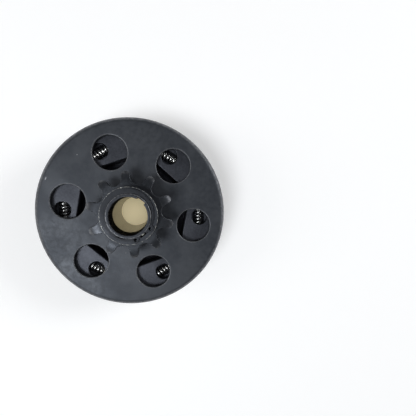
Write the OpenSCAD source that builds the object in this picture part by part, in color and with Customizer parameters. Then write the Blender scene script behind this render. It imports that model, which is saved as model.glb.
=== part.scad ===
// Six-shoe centrifugal clutch with a ten-tooth chain sprocket.
// Millimetres. The axis is Z, the hub's back end is at z = 0 and the sprocket points along +Z.

/* [Bore and sleeve] */
// Bore diameter
bore_d = 19.07; // [17:0.01:20]
// Keyway width
key_w = 4.76; // [3:0.01:6]
// Keyway depth beyond the bore
key_depth = 0.85; // [0.4:0.05:1]
// Keyway direction in degrees
key_angle = 52; // [0:1:360]
// Sleeve wall round the bore
sleeve_wall = 1.75; // [1.7:0.05:2.5]
// Wall of the hub's thick back end round the bore
boss_wall = 6; // [5:0.1:7]
// Length of the hub behind the back ring's groove
back_land = 3.4; // [2:0.1:6]
// Length of the hub in front of the shoulder
neck_len = 6.5; // [3:0.1:8]
// Length of the sleeve in front of the front ring's groove
front_land = 1.1; // [0.8:0.1:3]
// Chamfer on the hub's edges
hub_chamfer = 0.4; // [0.2:0.05:0.6]

/* [Driver] */
// Thickness of the driver spider
spider_t = 11; // [9:0.1:14]
// Gap between the spider's round middle and the shoes' inner faces
spider_gap = 5.4; // [2:0.1:7]
// Width of each driving arm
arm_w = 12; // [9:0.1:13]
// Length of each arm past the shoes' inner faces
arm_reach = 10.1; // [8:0.1:11]
// Corner radius at the root of each arm
arm_root_r = 2.5; // [1:0.1:3]
// Thickness of the hub's shoulder in front of the spider
shoulder_t = 2; // [1.5:0.1:3]
// Height of the hub's shoulder
shoulder_h = 2.5; // [1.5:0.1:4]
// Thickness of the plate behind the shoes
plate_t = 1.5; // [1:0.1:2.5]
// Distance from the plate's edge to the arms' ends
plate_inset = 1; // [0.5:0.1:4]
// Thickness of the back ring
back_ring_t = 1.3; // [1:0.1:1.8]

/* [Drum] */
// Outer diameter of the drum
drum_d = 108; // [96:0.5:120]
// Thickness of the drum's side wall
drum_wall = 2.6; // [2:0.1:3]
// Thickness of the drum's face
drum_t = 2.6; // [2:0.1:3.5]
// Height of the drum's rim above the hub's back end
rim_lift = 1.5; // [1:0.1:4]
// Radius of the drum's outer corner
corner_r = 3; // [2:0.1:4]
// Number of windows, shoes and arms
shoe_count = 6;
// Direction of the first window in degrees
window_angle = -10.5; // [-30:0.5:30]
// Diameter of each window
window_d = 19.3; // [14:0.1:20]
// Distance from the drum's outside to the windows' middles
window_inset = 18; // [16:0.1:20]
// Chamfer round each window
window_chamfer = 0.45; // [0.2:0.05:0.8]

/* [Sprocket] */
// Number of teeth
teeth = 10; // [10:1:12]
// Chain pitch
pitch = 12.7;
// Diameter of the chain's rollers
roller_d = 7.77; // [7:0.01:8.2]
// Clearance round a seated roller
roller_fit = 0.08; // [0.02:0.01:0.2]
// Height of the teeth above the pitch circle
tooth_top = 2.75; // [2:0.05:3.2]
// Radius of the teeth's round tips
tip_round = 2.4; // [2.35:0.05:3]
// Thickness of the teeth
tooth_t = 7.2; // [6:0.1:7.6]
// Height of the round flanks on the sides of the teeth
tooth_side_h = 6.3; // [4:0.1:6.5]
// How far those flanks have fallen at the tips
tooth_side_w = 1.5; // [0.8:0.05:2]
// Direction of the first tooth in degrees
tooth_angle = -12; // [-18:0.5:18]
// Distance from the drum's face to the teeth
stand_off = 7.8; // [6:0.1:10]
// Length of the boss in front of the teeth
front_boss = 6; // [4:0.1:9]
// Wall of the sprocket's boss round the bushing
sprocket_wall = 1.5; // [1.3:0.1:2]
// Height of the shoulder that seats on the drum's face
seat_h = 2.2; // [1:0.1:3]
// Thickness of the shoulder that seats on the drum's face
seat_t = 2.4; // [1.5:0.1:3.5]
// Length of the spigot inside the drum
spigot_len = 0.9; // [0.6:0.1:1.5]

/* [Bushing and washers] */
// Wall of the bushing
bushing_wall = 1.6; // [1.2:0.1:2]
// Thickness of the bushing's flange
flange_t = 1.9; // [1:0.1:2.5]
// Distance that the bushing's flange stands out past the sprocket's boss
flange_lip = 0.6; // [0.3:0.1:1.5]
// Thickness of the washer behind the bushing
inner_washer_t = 1.5; // [1:0.1:2.5]
// Thickness of the front washer
washer_t = 1.5; // [1:0.1:2]
// Distance that the front washer stands out past the sprocket's boss
washer_lip = 0.265; // [0.1:0.005:1.5]
// Thickness of the front snap ring
ring_t = 1.2; // [1:0.05:1.5]
// Radial width of the front snap ring opposite its gap
ring_w = 3.4; // [2.8:0.1:4]
// Radius of the front snap ring's lugs
ring_lug_r = 1.75; // [1.4:0.05:2]
// Radius of the plier holes in the front snap ring
ring_hole_r = 0.8; // [0.5:0.05:0.9]
// Radial width of the back ring opposite its gap
back_ring_w = 3.6; // [2.8:0.1:4.5]
// Radius of the back ring's lugs
back_lug_r = 1.9; // [1.6:0.05:2.3]
// Radius of the plier holes in the back ring
back_hole_r = 0.8; // [0.5:0.05:1]
// Direction of the snap rings' gaps in degrees
ring_angle = -52; // [-180:1:180]
// Depth of the snap ring grooves
groove_depth = 0.5; // [0.3:0.05:0.5]

/* [Shoes and springs] */
// Depth of each shoe from its inner face to its curved face
shoe_depth = 19.4; // [17:0.1:21]
// Travel of each shoe to the drum
shoe_travel = 0.8; // [0.3:0.05:1]
// Gap between neighbouring shoes at rest
shoe_gap = 1.6; // [1.2:0.1:3]
// Distance from the shoes' faces to the drum's inner face
shoe_face_gap = 1.3; // [0.8:0.1:2]
// Chamfer on the shoes' edges
shoe_chamfer = 0.7; // [0.3:0.05:1]
// Diameter of each shoe's spring window
eye_d = 9.4; // [7.5:0.1:10]
// Direction of the spring window from the middle of its shoe in degrees
eye_angle = 8; // [4:0.5:14]
// Distance from the shoes' inner faces to a spring's middle line
spring_inset = 8.5; // [7.5:0.1:9]
// Outer diameter of a spring
spring_d = 6; // [5:0.1:6.2]
// Wire diameter of a spring
wire_d = 1.2; // [0.9:0.05:1.3]
// Coils in a spring
coils = 13; // [10:1:14]
// Direction of the pin that a spring starts from in degrees
pin_a_angle = -12; // [-13:0.5:-11]
// Direction of the pin that a spring ends at in degrees
pin_b_angle = 34; // [33:0.5:35]
// Diameter of the spring pins
pin_d = 2.1; // [1.6:0.1:2.2]
// Play of each hook on its pin, along the spring
hook_play = 0.3; // [0.1:0.05:0.4]
// Thickness of the shoe over a spring
channel_roof = 1.2; // [0.8:0.1:2]
// Clearance round a spring in its channel
channel_gap = 0.4; // [0.3:0.05:0.6]

/* [Fits] */
// Radial clearance of a running fit
run_fit = 0.05; // [0.02:0.01:0.1]
// Radial clearance of a washer on the sleeve
loose_fit = 0.1; // [0.05:0.01:0.2]
// End play along the axis
end_play = 0.1; // [0.05:0.01:0.2]
// Clearance beside a driving arm in its shoe
slide_gap = 0.15; // [0.1:0.01:0.3]
// Clearance between an engaged shoe and the drum
drum_gap = 0.3; // [0.2:0.01:0.4]

/* [Hidden] */
$fn = 96;
eps = 0.01;
step = 360 / shoe_count;

bore_r = bore_d / 2;
sleeve_r = bore_r + sleeve_wall;
boss_r = bore_r + boss_wall;
shoulder_r = boss_r + shoulder_h;

back_groove_w = back_ring_t + end_play;
plate_z = back_land + back_groove_w + end_play;
spider_z = plate_z + plate_t + end_play;
shoulder_z = spider_z + spider_t;
neck_z = shoulder_z + shoulder_t;
boss_end = neck_z + neck_len;
flange_z = boss_end + inner_washer_t + end_play;
spigot_z = flange_z + flange_t;
drum_in_z = spigot_z + spigot_len;
face_z = drum_in_z + drum_t;
tooth_z = face_z + stand_off;
front_z = tooth_z + tooth_t;
bushing_end = front_z + front_boss;
washer_z = bushing_end + end_play;
groove_z = washer_z + washer_t;
front_groove_w = ring_t + end_play;
hub_len = groove_z + front_groove_w + front_land;

drum_r = drum_d / 2;
drum_in_r = drum_r - drum_wall;
window_circle_r = drum_r - window_inset;
bushing_in_r = sleeve_r + run_fit;
bushing_r = bushing_in_r + bushing_wall;
sprocket_boss_r = bushing_r + sprocket_wall;
flange_r = sprocket_boss_r + flange_lip;
washer_r = sprocket_boss_r + washer_lip;
seat_r = sprocket_boss_r + seat_h;
spigot_r = flange_r;
inner_washer_r = flange_r;

pitch_r = pitch / (2 * sin(180 / teeth));
roller_seat_r = roller_d / 2 + roller_fit;
flank_r = pitch - roller_seat_r;
tip_r = pitch_r + tooth_top;
side_start = tip_r - tooth_side_h;
side_r = (pow(tooth_side_h, 2) + pow(tooth_side_w, 2)) / (2 * tooth_side_w);

shoe_arc_r = drum_in_r - drum_gap;
shoe_inner = shoe_arc_r - shoe_travel - shoe_depth;
spider_r = shoe_inner - spider_gap;
arm_end_r = shoe_inner + arm_reach;
plate_r = arm_end_r - plate_inset;
spring_r = shoe_inner + spring_inset;
shoe_z = plate_z + plate_t + 2 * end_play;
shoe_top = drum_in_z - shoe_face_gap;
slot_top = shoulder_z + 2 * slide_gap;
slot_end = arm_end_r + slide_gap;
channel_r = spring_d / 2 + channel_gap;
spring_z = shoe_top - channel_roof - channel_r;
coil_r = (spring_d - wire_d) / 2;
chord_angle = (pin_a_angle + pin_b_angle) / 2;
chord_half = spring_r * tan((pin_b_angle - pin_a_angle) / 2);
channel_half = chord_half + hook_play + coil_r + wire_d / 2 + channel_gap;
coil_half = chord_half - pin_d / 2 - wire_d - 1.7;
eye_r = spring_r / cos(eye_angle - chord_angle);
pin_r = spring_r / cos((pin_b_angle - pin_a_angle) / 2);
pin_z = spring_z - channel_r - 0.8;

part_black = [0.20, 0.21, 0.23];
part_dark = [0.28, 0.29, 0.31];
part_shoe = [0.42, 0.43, 0.45];
part_bright = [0.78, 0.78, 0.76];
part_bronze = [0.62, 0.46, 0.24];

// Shapes used by several pieces

module tube(r_out, r_in, h) {
    difference() {
        cylinder(r = r_out, h = h);
        translate([0, 0, -eps])
            cylinder(r = r_in, h = h + 2 * eps);
    }
}

module chamfered_tube(r_out, r_in, h, c) {
    rotate_extrude()
        polygon([
            [r_in, 0],
            [r_out - c, 0],
            [r_out, c],
            [r_out, h - c],
            [r_out - c, h],
            [r_in, h]
        ]);
}

module around(i) {
    rotate([0, 0, window_angle + i * step])
        children();
}

// Tapered external snap ring, its gap pointing along +X

module tapered_ring(r_in, grow, h, lug_r, hole_r) {
    taper = grow * 0.27;
    body_r = r_in + grow - taper;
    lug_at = r_in + lug_r * 0.95;
    difference() {
        union() {
            translate([-taper, 0, 0])
                cylinder(r = body_r, h = h);
            for (side = [-1, 1])
                rotate([0, 0, side * 22])
                    translate([lug_at, 0, 0])
                        cylinder(r = lug_r, h = h);
        }
        translate([0, 0, -eps])
            cylinder(r = r_in, h = h + 2 * eps);
        translate([0, 0, -eps])
            linear_extrude(h + 2 * eps)
                polygon([
                    [0, 0],
                    [2 * body_r, -2 * body_r * tan(8)],
                    [2 * body_r, 2 * body_r * tan(8)]
                ]);
        for (side = [-1, 1])
            rotate([0, 0, side * 22])
                translate([lug_at, 0, -eps])
                    cylinder(r = hole_r, h = h + 2 * eps, $fn = 24);
    }
}

// Drum and sprocket

module drum_profile() {
    inner_corner = max(0.6, corner_r - drum_t);
    difference() {
        union() {
            translate([0, rim_lift])
                square([drum_r, face_z - corner_r - rim_lift]);
            translate([0, rim_lift])
                square([drum_r - corner_r, face_z - rim_lift]);
            translate([drum_r - corner_r, face_z - corner_r])
                circle(r = corner_r, $fn = 48);
        }
        difference() {
            translate([-1, rim_lift - 1])
                square([drum_in_r + 1, drum_in_z - rim_lift + 1]);
            translate([drum_in_r - inner_corner, drum_in_z - inner_corner])
                difference() {
                    square([inner_corner + 1, inner_corner + 1]);
                    circle(r = inner_corner, $fn = 32);
                }
        }
        translate([-1, rim_lift - 1])
            square([spigot_r + 1, face_z + 2]);
    }
}

module window_cut() {
    translate([window_circle_r, 0, drum_in_z - 1])
        cylinder(d = window_d, h = drum_t + 2);
    translate([window_circle_r, 0, face_z - window_chamfer])
        cylinder(
            d1 = window_d,
            d2 = window_d + 4 * window_chamfer,
            h = 2 * window_chamfer
        );
    translate([window_circle_r, 0, drum_in_z - window_chamfer])
        cylinder(
            d1 = window_d + 4 * window_chamfer,
            d2 = window_d,
            h = 2 * window_chamfer
        );
}

module drum_cup() {
    color(part_black)
        difference() {
            rotate_extrude()
                drum_profile();
            for (i = [0 : shoe_count - 1])
                around(i)
                    window_cut();
        }
}

module tooth_outline() {
    difference() {
        union() {
            circle(r = pitch_r * cos(180 / teeth) + 0.3);
            for (i = [0 : teeth - 1])
                rotate(i * 360 / teeth)
                    intersection() {
                        rotate(180 / teeth)
                            translate([pitch_r, 0])
                                circle(r = flank_r);
                        rotate(-180 / teeth)
                            translate([pitch_r, 0])
                                circle(r = flank_r);
                        translate([pitch_r * 0.5, -pitch / 2])
                            square([pitch_r, pitch]);
                        union() {
                            circle(r = tip_r - tip_round);
                            translate([tip_r - tip_round, 0])
                                circle(r = tip_round, $fn = 48);
                        }
                    }
        }
        for (i = [0 : teeth - 1])
            rotate((i + 0.5) * 360 / teeth)
                translate([pitch_r, 0])
                    circle(r = roller_seat_r, $fn = 48);
    }
}

module tooth_envelope() {
    rotate_extrude() {
        square([side_start, tooth_t]);
        intersection() {
            translate([side_start - 1, 0])
                square([tooth_side_h + 2, tooth_t]);
            translate([side_start, side_r])
                circle(r = side_r, $fn = 96);
            translate([side_start, tooth_t - side_r])
                circle(r = side_r, $fn = 96);
        }
    }
}

module sprocket() {
    color(part_dark)
        difference() {
            union() {
                translate([0, 0, tooth_z])
                    rotate([0, 0, tooth_angle])
                        intersection() {
                            linear_extrude(tooth_t)
                                tooth_outline();
                            tooth_envelope();
                        }
                rotate_extrude()
                    polygon([
                        [0, spigot_z],
                        [spigot_r, spigot_z],
                        [spigot_r, face_z],
                        [seat_r, face_z],
                        [seat_r, face_z + seat_t - 0.6],
                        [seat_r - 0.6, face_z + seat_t],
                        [sprocket_boss_r, face_z + seat_t],
                        [sprocket_boss_r, bushing_end - hub_chamfer],
                        [sprocket_boss_r - hub_chamfer, bushing_end],
                        [0, bushing_end]
                    ]);
            }
            translate([0, 0, spigot_z - 1])
                cylinder(r = bushing_r, h = bushing_end - spigot_z + 2);
        }
}

module sprocket_bushing() {
    color(part_bronze)
        difference() {
            union() {
                translate([0, 0, flange_z])
                    cylinder(r = flange_r, h = flange_t);
                translate([0, 0, flange_z])
                    cylinder(r = bushing_r, h = bushing_end - flange_z);
            }
            translate([0, 0, flange_z - 1])
                cylinder(r = bushing_in_r, h = bushing_end - flange_z + 2);
        }
}

// Hub, driver, washers and rings

module hub_profile() {
    c = hub_chamfer;
    polygon([
        [bore_r, c],
        [bore_r + c, 0],
        [boss_r - c, 0],
        [boss_r, c],
        [boss_r, back_land],
        [boss_r - groove_depth, back_land],
        [boss_r - groove_depth, back_land + back_groove_w],
        [boss_r, back_land + back_groove_w],
        [boss_r, shoulder_z],
        [shoulder_r, shoulder_z],
        [shoulder_r, neck_z - c],
        [shoulder_r - c, neck_z],
        [boss_r, neck_z],
        [boss_r, boss_end],
        [sleeve_r, boss_end],
        [sleeve_r, groove_z],
        [sleeve_r - groove_depth, groove_z],
        [sleeve_r - groove_depth, groove_z + front_groove_w],
        [sleeve_r, groove_z + front_groove_w],
        [sleeve_r, hub_len - c],
        [sleeve_r - c, hub_len],
        [bore_r + c, hub_len],
        [bore_r, hub_len - c]
    ]);
}

module hub_sleeve() {
    color(part_dark)
        difference() {
            rotate_extrude()
                hub_profile();
            rotate([0, 0, key_angle])
                translate([0, -key_w / 2, -1])
                    cube([bore_r + key_depth, key_w, hub_len + 2]);
        }
}

module spider_outline() {
    difference() {
        union() {
            circle(r = spider_r);
            for (i = [0 : shoe_count - 1])
                rotate(window_angle + i * step)
                    intersection() {
                        translate([0, -arm_w / 2])
                            square([arm_end_r, arm_w]);
                        circle(r = arm_end_r);
                    }
            for (i = [0 : shoe_count - 1], side = [-1, 1])
                rotate(window_angle + i * step)
                    translate([spider_r - arm_root_r, side * arm_w / 2])
                        arm_root(side);
        }
        circle(r = boss_r);
    }
}

// Rounded corner between the spider's middle and an arm

module arm_root(side) {
    reach = arm_root_r * 1.6;
    difference() {
        translate([0, side > 0 ? -eps : -arm_root_r])
            square([reach, arm_root_r + eps]);
        translate([reach, side * arm_root_r])
            circle(r = arm_root_r, $fn = 32);
    }
}

module driver_spider() {
    color(part_dark)
        translate([0, 0, spider_z])
            linear_extrude(spider_t)
                spider_outline();
}

module inner_washer() {
    color(part_bright)
        translate([0, 0, boss_end])
            tube(inner_washer_r, sleeve_r + loose_fit, inner_washer_t);
}

module front_washer() {
    color(part_dark)
        translate([0, 0, washer_z])
            chamfered_tube(washer_r, sleeve_r + loose_fit, washer_t, 0.25);
}

module snap_ring() {
    color(part_dark)
        translate([0, 0, groove_z + end_play / 2])
            rotate([0, 0, ring_angle])
                tapered_ring(sleeve_r - groove_depth, ring_w, ring_t, ring_lug_r, ring_hole_r);
}

module back_plate() {
    color(part_dark)
        translate([0, 0, plate_z])
            chamfered_tube(plate_r, boss_r + loose_fit, plate_t, 0.25);
}

module back_ring() {
    color(part_dark)
        translate([0, 0, back_land + end_play / 2])
            rotate([0, 0, ring_angle])
                tapered_ring(boss_r - groove_depth, back_ring_w, back_ring_t, back_lug_r, back_hole_r);
}

// Shoes, spring pins and springs

module along_chord() {
    rotate([0, 0, chord_angle])
        translate([spring_r, 0, spring_z])
            rotate([-90, 0, 0])
                children();
}

module spring_channel() {
    along_chord()
        translate([0, 0, -channel_half])
            cylinder(r = channel_r, h = 2 * channel_half, $fn = 48);
}

module pin_at(angle) {
    rotate([0, 0, angle])
        translate([pin_r, 0, pin_z])
            cylinder(d = pin_d, h = shoe_top - pin_z, $fn = 32);
}

module shoe_envelope() {
    c = shoe_chamfer;
    translate([-shoe_travel, 0, 0])
        rotate_extrude()
            polygon([
                [0, shoe_z],
                [shoe_arc_r - c, shoe_z],
                [shoe_arc_r, shoe_z + c],
                [shoe_arc_r, shoe_top - c],
                [shoe_arc_r - c, shoe_top],
                [0, shoe_top]
            ]);
}

module shoe_sector() {
    far = drum_r;
    side_y = shoe_inner * tan(step / 2) - shoe_gap / 2 / cos(step / 2);
    far_y = far * tan(step / 2) - shoe_gap / 2 / cos(step / 2);
    translate([0, 0, shoe_z])
        linear_extrude(shoe_top - shoe_z)
            polygon([
                [shoe_inner, -side_y],
                [far, -far_y],
                [far, far_y],
                [shoe_inner, side_y]
            ]);
}

module edge_bevel() {
    translate([shoe_inner, 0, shoe_top])
        rotate([0, 45, 0])
            cube([shoe_chamfer * 1.41, 2 * drum_r, shoe_chamfer * 1.41], center = true);
}

module shoe_body() {
    difference() {
        intersection() {
            shoe_sector();
            shoe_envelope();
        }
        edge_bevel();
        translate([0, -arm_w / 2 - slide_gap, shoe_z - 1])
            cube([slot_end, arm_w + 2 * slide_gap, slot_top - shoe_z + 1]);
        spring_channel();
        rotate([0, 0, -step])
            spring_channel();
        rotate([0, 0, eye_angle])
            translate([eye_r, 0, spring_z])
                cylinder(d = eye_d, h = shoe_top - spring_z + 1, $fn = 48);
        rotate([0, 0, eye_angle])
            translate([eye_r, 0, shoe_top - 0.3])
                cylinder(d1 = eye_d, d2 = eye_d + 1.2, h = 0.6, $fn = 48);
        pin_at(pin_a_angle);
        pin_at(pin_b_angle - step);
    }
}

module shoe(i) {
    color(part_shoe)
        around(i)
            shoe_body();
}

module pins(i) {
    color(part_bright)
        around(i) {
            pin_at(pin_a_angle);
            pin_at(pin_b_angle - step);
        }
}

// Spring wire: points [along, out, up] with the outward direction of the section at each

turn_steps = 12;
hook_steps = 8;
wire_sides = 5;
hook_r = coil_r;

function hook_start() = [
    for (k = [0 : hook_steps])
        let (a = -90 - 180 * k / hook_steps)
        [
            [-chord_half - hook_play + hook_r * cos(a), hook_r * sin(a), 0],
            [cos(a), sin(a), 0]
        ]
];

function coil_path() = [
    for (k = [0 : coils * turn_steps])
        let (a = 360 * k / turn_steps)
        [
            [-coil_half + 2 * coil_half * k / (coils * turn_steps), coil_r * cos(a), coil_r * sin(a)],
            [0, cos(a), sin(a)]
        ]
];

function hook_end() = [
    for (k = [0 : hook_steps])
        let (a = 90 - 180 * k / hook_steps)
        [
            [chord_half + hook_play + hook_r * cos(a), hook_r * sin(a), 0],
            [cos(a), sin(a), 0]
        ]
];

function direction(path, i) =
    let (a = path[max(0, i - 1)][0], b = path[min(len(path) - 1, i + 1)][0])
    (b - a) / norm(b - a);

function ring_points(path, i) =
    let (t = direction(path, i))
    let (raw = path[i][1] - t * (t * path[i][1]))
    let (u = raw / norm(raw))
    let (v = cross(t, u))
    [
        for (s = [0 : wire_sides - 1])
            let (a = 360 * s / wire_sides)
            path[i][0] + wire_d / 2 * (u * cos(a) + v * sin(a))
    ];

module swept_wire(path) {
    count = len(path);
    m = wire_sides;
    points = [for (i = [0 : count - 1]) each ring_points(path, i)];
    sides = [
        for (i = [0 : count - 2], s = [0 : m - 1])
            each [
                [i * m + s, (i + 1) * m + s, (i + 1) * m + (s + 1) % m],
                [i * m + s, (i + 1) * m + (s + 1) % m, i * m + (s + 1) % m]
            ]
    ];
    first = [for (s = [0 : m - 1]) s];
    last = [for (s = [m - 1 : -1 : 0]) (count - 1) * m + s];
    polyhedron(points = points, faces = concat([first], sides, [last]), convexity = 6);
}

module spring(i) {
    color(part_bright)
        around(i)
            rotate([0, 0, chord_angle])
                translate([spring_r, 0, spring_z])
                    multmatrix([
                        [0, 1, 0, 0],
                        [1, 0, 0, 0],
                        [0, 0, -1, 0]
                    ])
                        swept_wire(concat(hook_start(), coil_path(), hook_end()));
}

drum_cup();
sprocket();
sprocket_bushing();
hub_sleeve();
driver_spider();
inner_washer();
front_washer();
snap_ring();
back_plate();
back_ring();
shoe(0);  // shoe_1
shoe(1);  // shoe_2
shoe(2);  // shoe_3
shoe(3);  // shoe_4
shoe(4);  // shoe_5
shoe(5);  // shoe_6
spring(0);  // spring_1
spring(1);  // spring_2
spring(2);  // spring_3
spring(3);  // spring_4
spring(4);  // spring_5
spring(5);  // spring_6
pins(0);  // spring_pins_1
pins(1);  // spring_pins_2
pins(2);  // spring_pins_3
pins(3);  // spring_pins_4
pins(4);  // spring_pins_5
pins(5);  // spring_pins_6
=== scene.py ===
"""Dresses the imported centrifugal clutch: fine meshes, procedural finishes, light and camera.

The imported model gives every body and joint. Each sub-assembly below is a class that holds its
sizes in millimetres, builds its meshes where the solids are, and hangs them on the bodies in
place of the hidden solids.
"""

import logging
import math
from dataclasses import dataclass
from enum import Enum
from typing import Any, Callable, Iterable, Optional, Sequence

import bmesh
import bpy
from mathutils import Matrix, Vector

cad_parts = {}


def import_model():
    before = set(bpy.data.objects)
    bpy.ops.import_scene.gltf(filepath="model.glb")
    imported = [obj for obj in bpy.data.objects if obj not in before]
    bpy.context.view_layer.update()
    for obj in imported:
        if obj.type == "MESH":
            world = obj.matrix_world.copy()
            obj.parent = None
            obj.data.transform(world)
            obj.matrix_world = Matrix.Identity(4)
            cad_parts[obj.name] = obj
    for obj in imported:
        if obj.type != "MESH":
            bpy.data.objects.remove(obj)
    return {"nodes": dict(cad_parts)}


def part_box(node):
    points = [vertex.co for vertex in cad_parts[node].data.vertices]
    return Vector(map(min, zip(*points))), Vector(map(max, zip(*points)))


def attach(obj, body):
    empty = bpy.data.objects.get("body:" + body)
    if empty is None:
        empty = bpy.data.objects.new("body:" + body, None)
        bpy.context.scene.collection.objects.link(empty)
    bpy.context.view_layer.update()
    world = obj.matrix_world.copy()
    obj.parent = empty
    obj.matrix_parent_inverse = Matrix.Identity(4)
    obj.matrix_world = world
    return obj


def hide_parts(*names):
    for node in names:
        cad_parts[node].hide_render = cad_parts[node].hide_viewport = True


frame: dict[str, Any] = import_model()

LOG = logging.getLogger("clutch")
MM = 0.001
TAU = 2 * math.pi

Point2 = tuple[float, float]
Corner = tuple[float, float, float]
Colour = tuple[float, float, float]


class Body(str, Enum):
    """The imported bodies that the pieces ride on; a shoe's number completes its name."""

    HUB = "hub"
    DRUM = "drum"
    SHOE = "shoe_unit_"


class Slot(str, Enum):
    """Names of material slots for the finished pieces; hand_over takes one and does not use it."""

    BLACKENED = "blackened_steel"
    HUB = "hub_steel"
    SINTERED = "sintered_iron"
    SPRING = "spring_steel"


class Cut(str, Enum):
    """What a boolean tree does with its second mesh."""

    AWAY = "DIFFERENCE"
    TOGETHER = "UNION"


# Outlines and plain meshes


def arc_points(centre: Point2, radius: float, start: float, end: float, steps: int) -> list[Point2]:
    """Points along an arc.

    Args:
        centre: The arc's centre.
        radius: Its radius.
        start: The first angle in radians.
        end: The last angle in radians.
        steps: How many steps the arc is cut into.

    Returns:
        steps + 1 points from the first angle to the last.
    """
    angles = (start + (end - start) * i / steps for i in range(steps + 1))
    return [(centre[0] + radius * math.cos(a), centre[1] + radius * math.sin(a)) for a in angles]


def rounded(corners: Sequence[Corner], steps: int = 5) -> list[Point2]:
    """Rounds the corners of a closed outline.

    Args:
        corners: (x, y, radius) of each corner in order; a radius of 0 leaves the corner sharp.
        steps: Steps in each rounded corner.

    Returns:
        The points of the rounded outline.
    """
    points: list[Point2] = []
    count = len(corners)
    for i, (x, y, radius) in enumerate(corners):
        if radius <= 0:
            points.append((x, y))
            continue
        here = Vector((x, y))
        back = Vector(corners[i - 1][:2]) - here
        ahead = Vector(corners[(i + 1) % count][:2]) - here
        half = back.angle(ahead) / 2
        reach = min(radius / math.tan(half), 0.49 * back.length, 0.49 * ahead.length)
        true_radius = reach * math.tan(half)
        middle = here + (back.normalized() + ahead.normalized()).normalized() * (true_radius / math.sin(half))
        first = here + back.normalized() * reach - middle
        last = here + ahead.normalized() * reach - middle
        turn = first.angle_signed(last)
        for k in range(steps + 1):
            spot = middle + (Matrix.Rotation(-turn * k / steps, 2) @ first)
            points.append((spot.x, spot.y))
    return points


def evaluated(holder: bpy.types.Object) -> bpy.types.Mesh:
    """A new mesh of an object with its modifiers applied.

    Args:
        holder: The object.

    Returns:
        The new mesh.
    """
    depsgraph = bpy.context.evaluated_depsgraph_get()
    return bpy.data.meshes.new_from_object(
        holder.evaluated_get(depsgraph), preserve_all_data_layers=True, depsgraph=depsgraph
    )


def mesh_from(name: str, build: Callable[[bmesh.types.BMesh], None]) -> bpy.types.Mesh:
    """Makes a mesh with faces that point outwards.

    Args:
        name: The mesh's name.
        build: Fills an empty bmesh, in metres.

    Returns:
        The finished mesh.
    """
    work = bmesh.new()
    build(work)
    bmesh.ops.remove_doubles(work, verts=work.verts, dist=1e-7)
    bmesh.ops.recalc_face_normals(work, faces=work.faces)
    if work.calc_volume(signed=True) < 0:
        bmesh.ops.reverse_faces(work, faces=work.faces)
    mesh = bpy.data.meshes.new(name)
    work.to_mesh(mesh)
    work.free()
    return mesh


def lathe(name: str, profile: Sequence[Point2], segments: int = 192) -> bpy.types.Mesh:
    """Turns a closed (radius, height) profile round the Z axis.

    Args:
        name: The mesh's name.
        profile: The closed profile in millimetres; points on the axis become poles.
        segments: Steps round the axis.

    Returns:
        A closed mesh.
    """

    def build(work: bmesh.types.BMesh) -> None:
        """Adds the rings and the faces between them.

        Args:
            work: The bmesh that is filled.
        """
        rings: list[list[bmesh.types.BMVert]] = []
        for r, z in profile:
            if r < 1e-6:
                rings.append([work.verts.new((0, 0, z * MM))])
                continue
            ring = arc_points((0.0, 0.0), r, 0.0, TAU * (segments - 1) / segments, segments - 1)
            rings.append([work.verts.new((x * MM, y * MM, z * MM)) for x, y in ring])
        for a, b in zip(rings, rings[1:] + rings[:1]):
            for k in range(segments):
                n = (k + 1) % segments
                corners = [a[k % len(a)], a[n % len(a)], b[n % len(b)], b[k % len(b)]]
                unique = list(dict.fromkeys(corners))
                if len(unique) > 2:
                    work.faces.new(unique)

    return mesh_from(name, build)


def slab(
    name: str,
    outline: Sequence[Point2],
    low: float,
    high: float,
    edge: float,
    holes: Iterable[Sequence[Point2]] = (),
    steps: int = 3,
) -> bpy.types.Mesh:
    """A flat plate of any outline with rounded edges.

    Args:
        name: The mesh's name.
        outline: The outer edge in millimetres.
        low: Height of its under side.
        high: Height of its upper side.
        edge: Radius of the rounded edges.
        holes: Outlines of the holes through it.
        steps: Steps in the rounded edges.

    Returns:
        A closed mesh.
    """
    curve = bpy.data.curves.new(name, "CURVE")
    curve.dimensions = "2D"
    curve.fill_mode = "BOTH"
    for loop in (outline, *holes):
        spline = curve.splines.new("POLY")
        spline.points.add(len(loop) - 1)
        for point, (x, y) in zip(spline.points, loop):
            point.co = (x * MM, y * MM, 0, 1)
        spline.use_cyclic_u = True
    curve.extrude = ((high - low) / 2 - edge) * MM
    curve.bevel_depth = edge * MM
    curve.bevel_resolution = steps
    curve.offset = -edge * MM
    holder = bpy.data.objects.new(name, curve)
    bpy.context.scene.collection.objects.link(holder)
    mesh = evaluated(holder)
    bpy.data.objects.remove(holder)
    bpy.data.curves.remove(curve)
    mesh.transform(Matrix.Translation((0, 0, (low + high) / 2 * MM)))

    def build(work: bmesh.types.BMesh) -> None:
        """Takes the curve's faces over, welded.

        Args:
            work: The bmesh that is filled.
        """
        work.from_mesh(mesh)
        bmesh.ops.remove_doubles(work, verts=work.verts, dist=2e-7)
        bmesh.ops.dissolve_degenerate(work, edges=work.edges, dist=1e-8)

    return mesh_from(name, build)


def block(name: str, low: Sequence[float], high: Sequence[float]) -> bpy.types.Mesh:
    """A box.

    Args:
        name: The mesh's name.
        low: Its lowest corner in millimetres.
        high: Its highest corner in millimetres.

    Returns:
        A closed mesh.
    """

    def build(work: bmesh.types.BMesh) -> None:
        """Scales a unit cube into place.

        Args:
            work: The bmesh that is filled.
        """
        size = [(b - a) * MM for a, b in zip(low, high)]
        middle = [(a + b) / 2 * MM for a, b in zip(low, high)]
        place = Matrix.Translation(middle) @ Matrix.Diagonal((*size, 1))
        bmesh.ops.create_cube(work, size=1, matrix=place)

    return mesh_from(name, build)


def moved(mesh: bpy.types.Mesh, place: Matrix) -> bpy.types.Mesh:
    """A moved copy of a mesh.

    Args:
        mesh: The mesh.
        place: The matrix that moves it.

    Returns:
        The copy.
    """
    copy = mesh.copy()
    copy.transform(place)
    return copy


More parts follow.
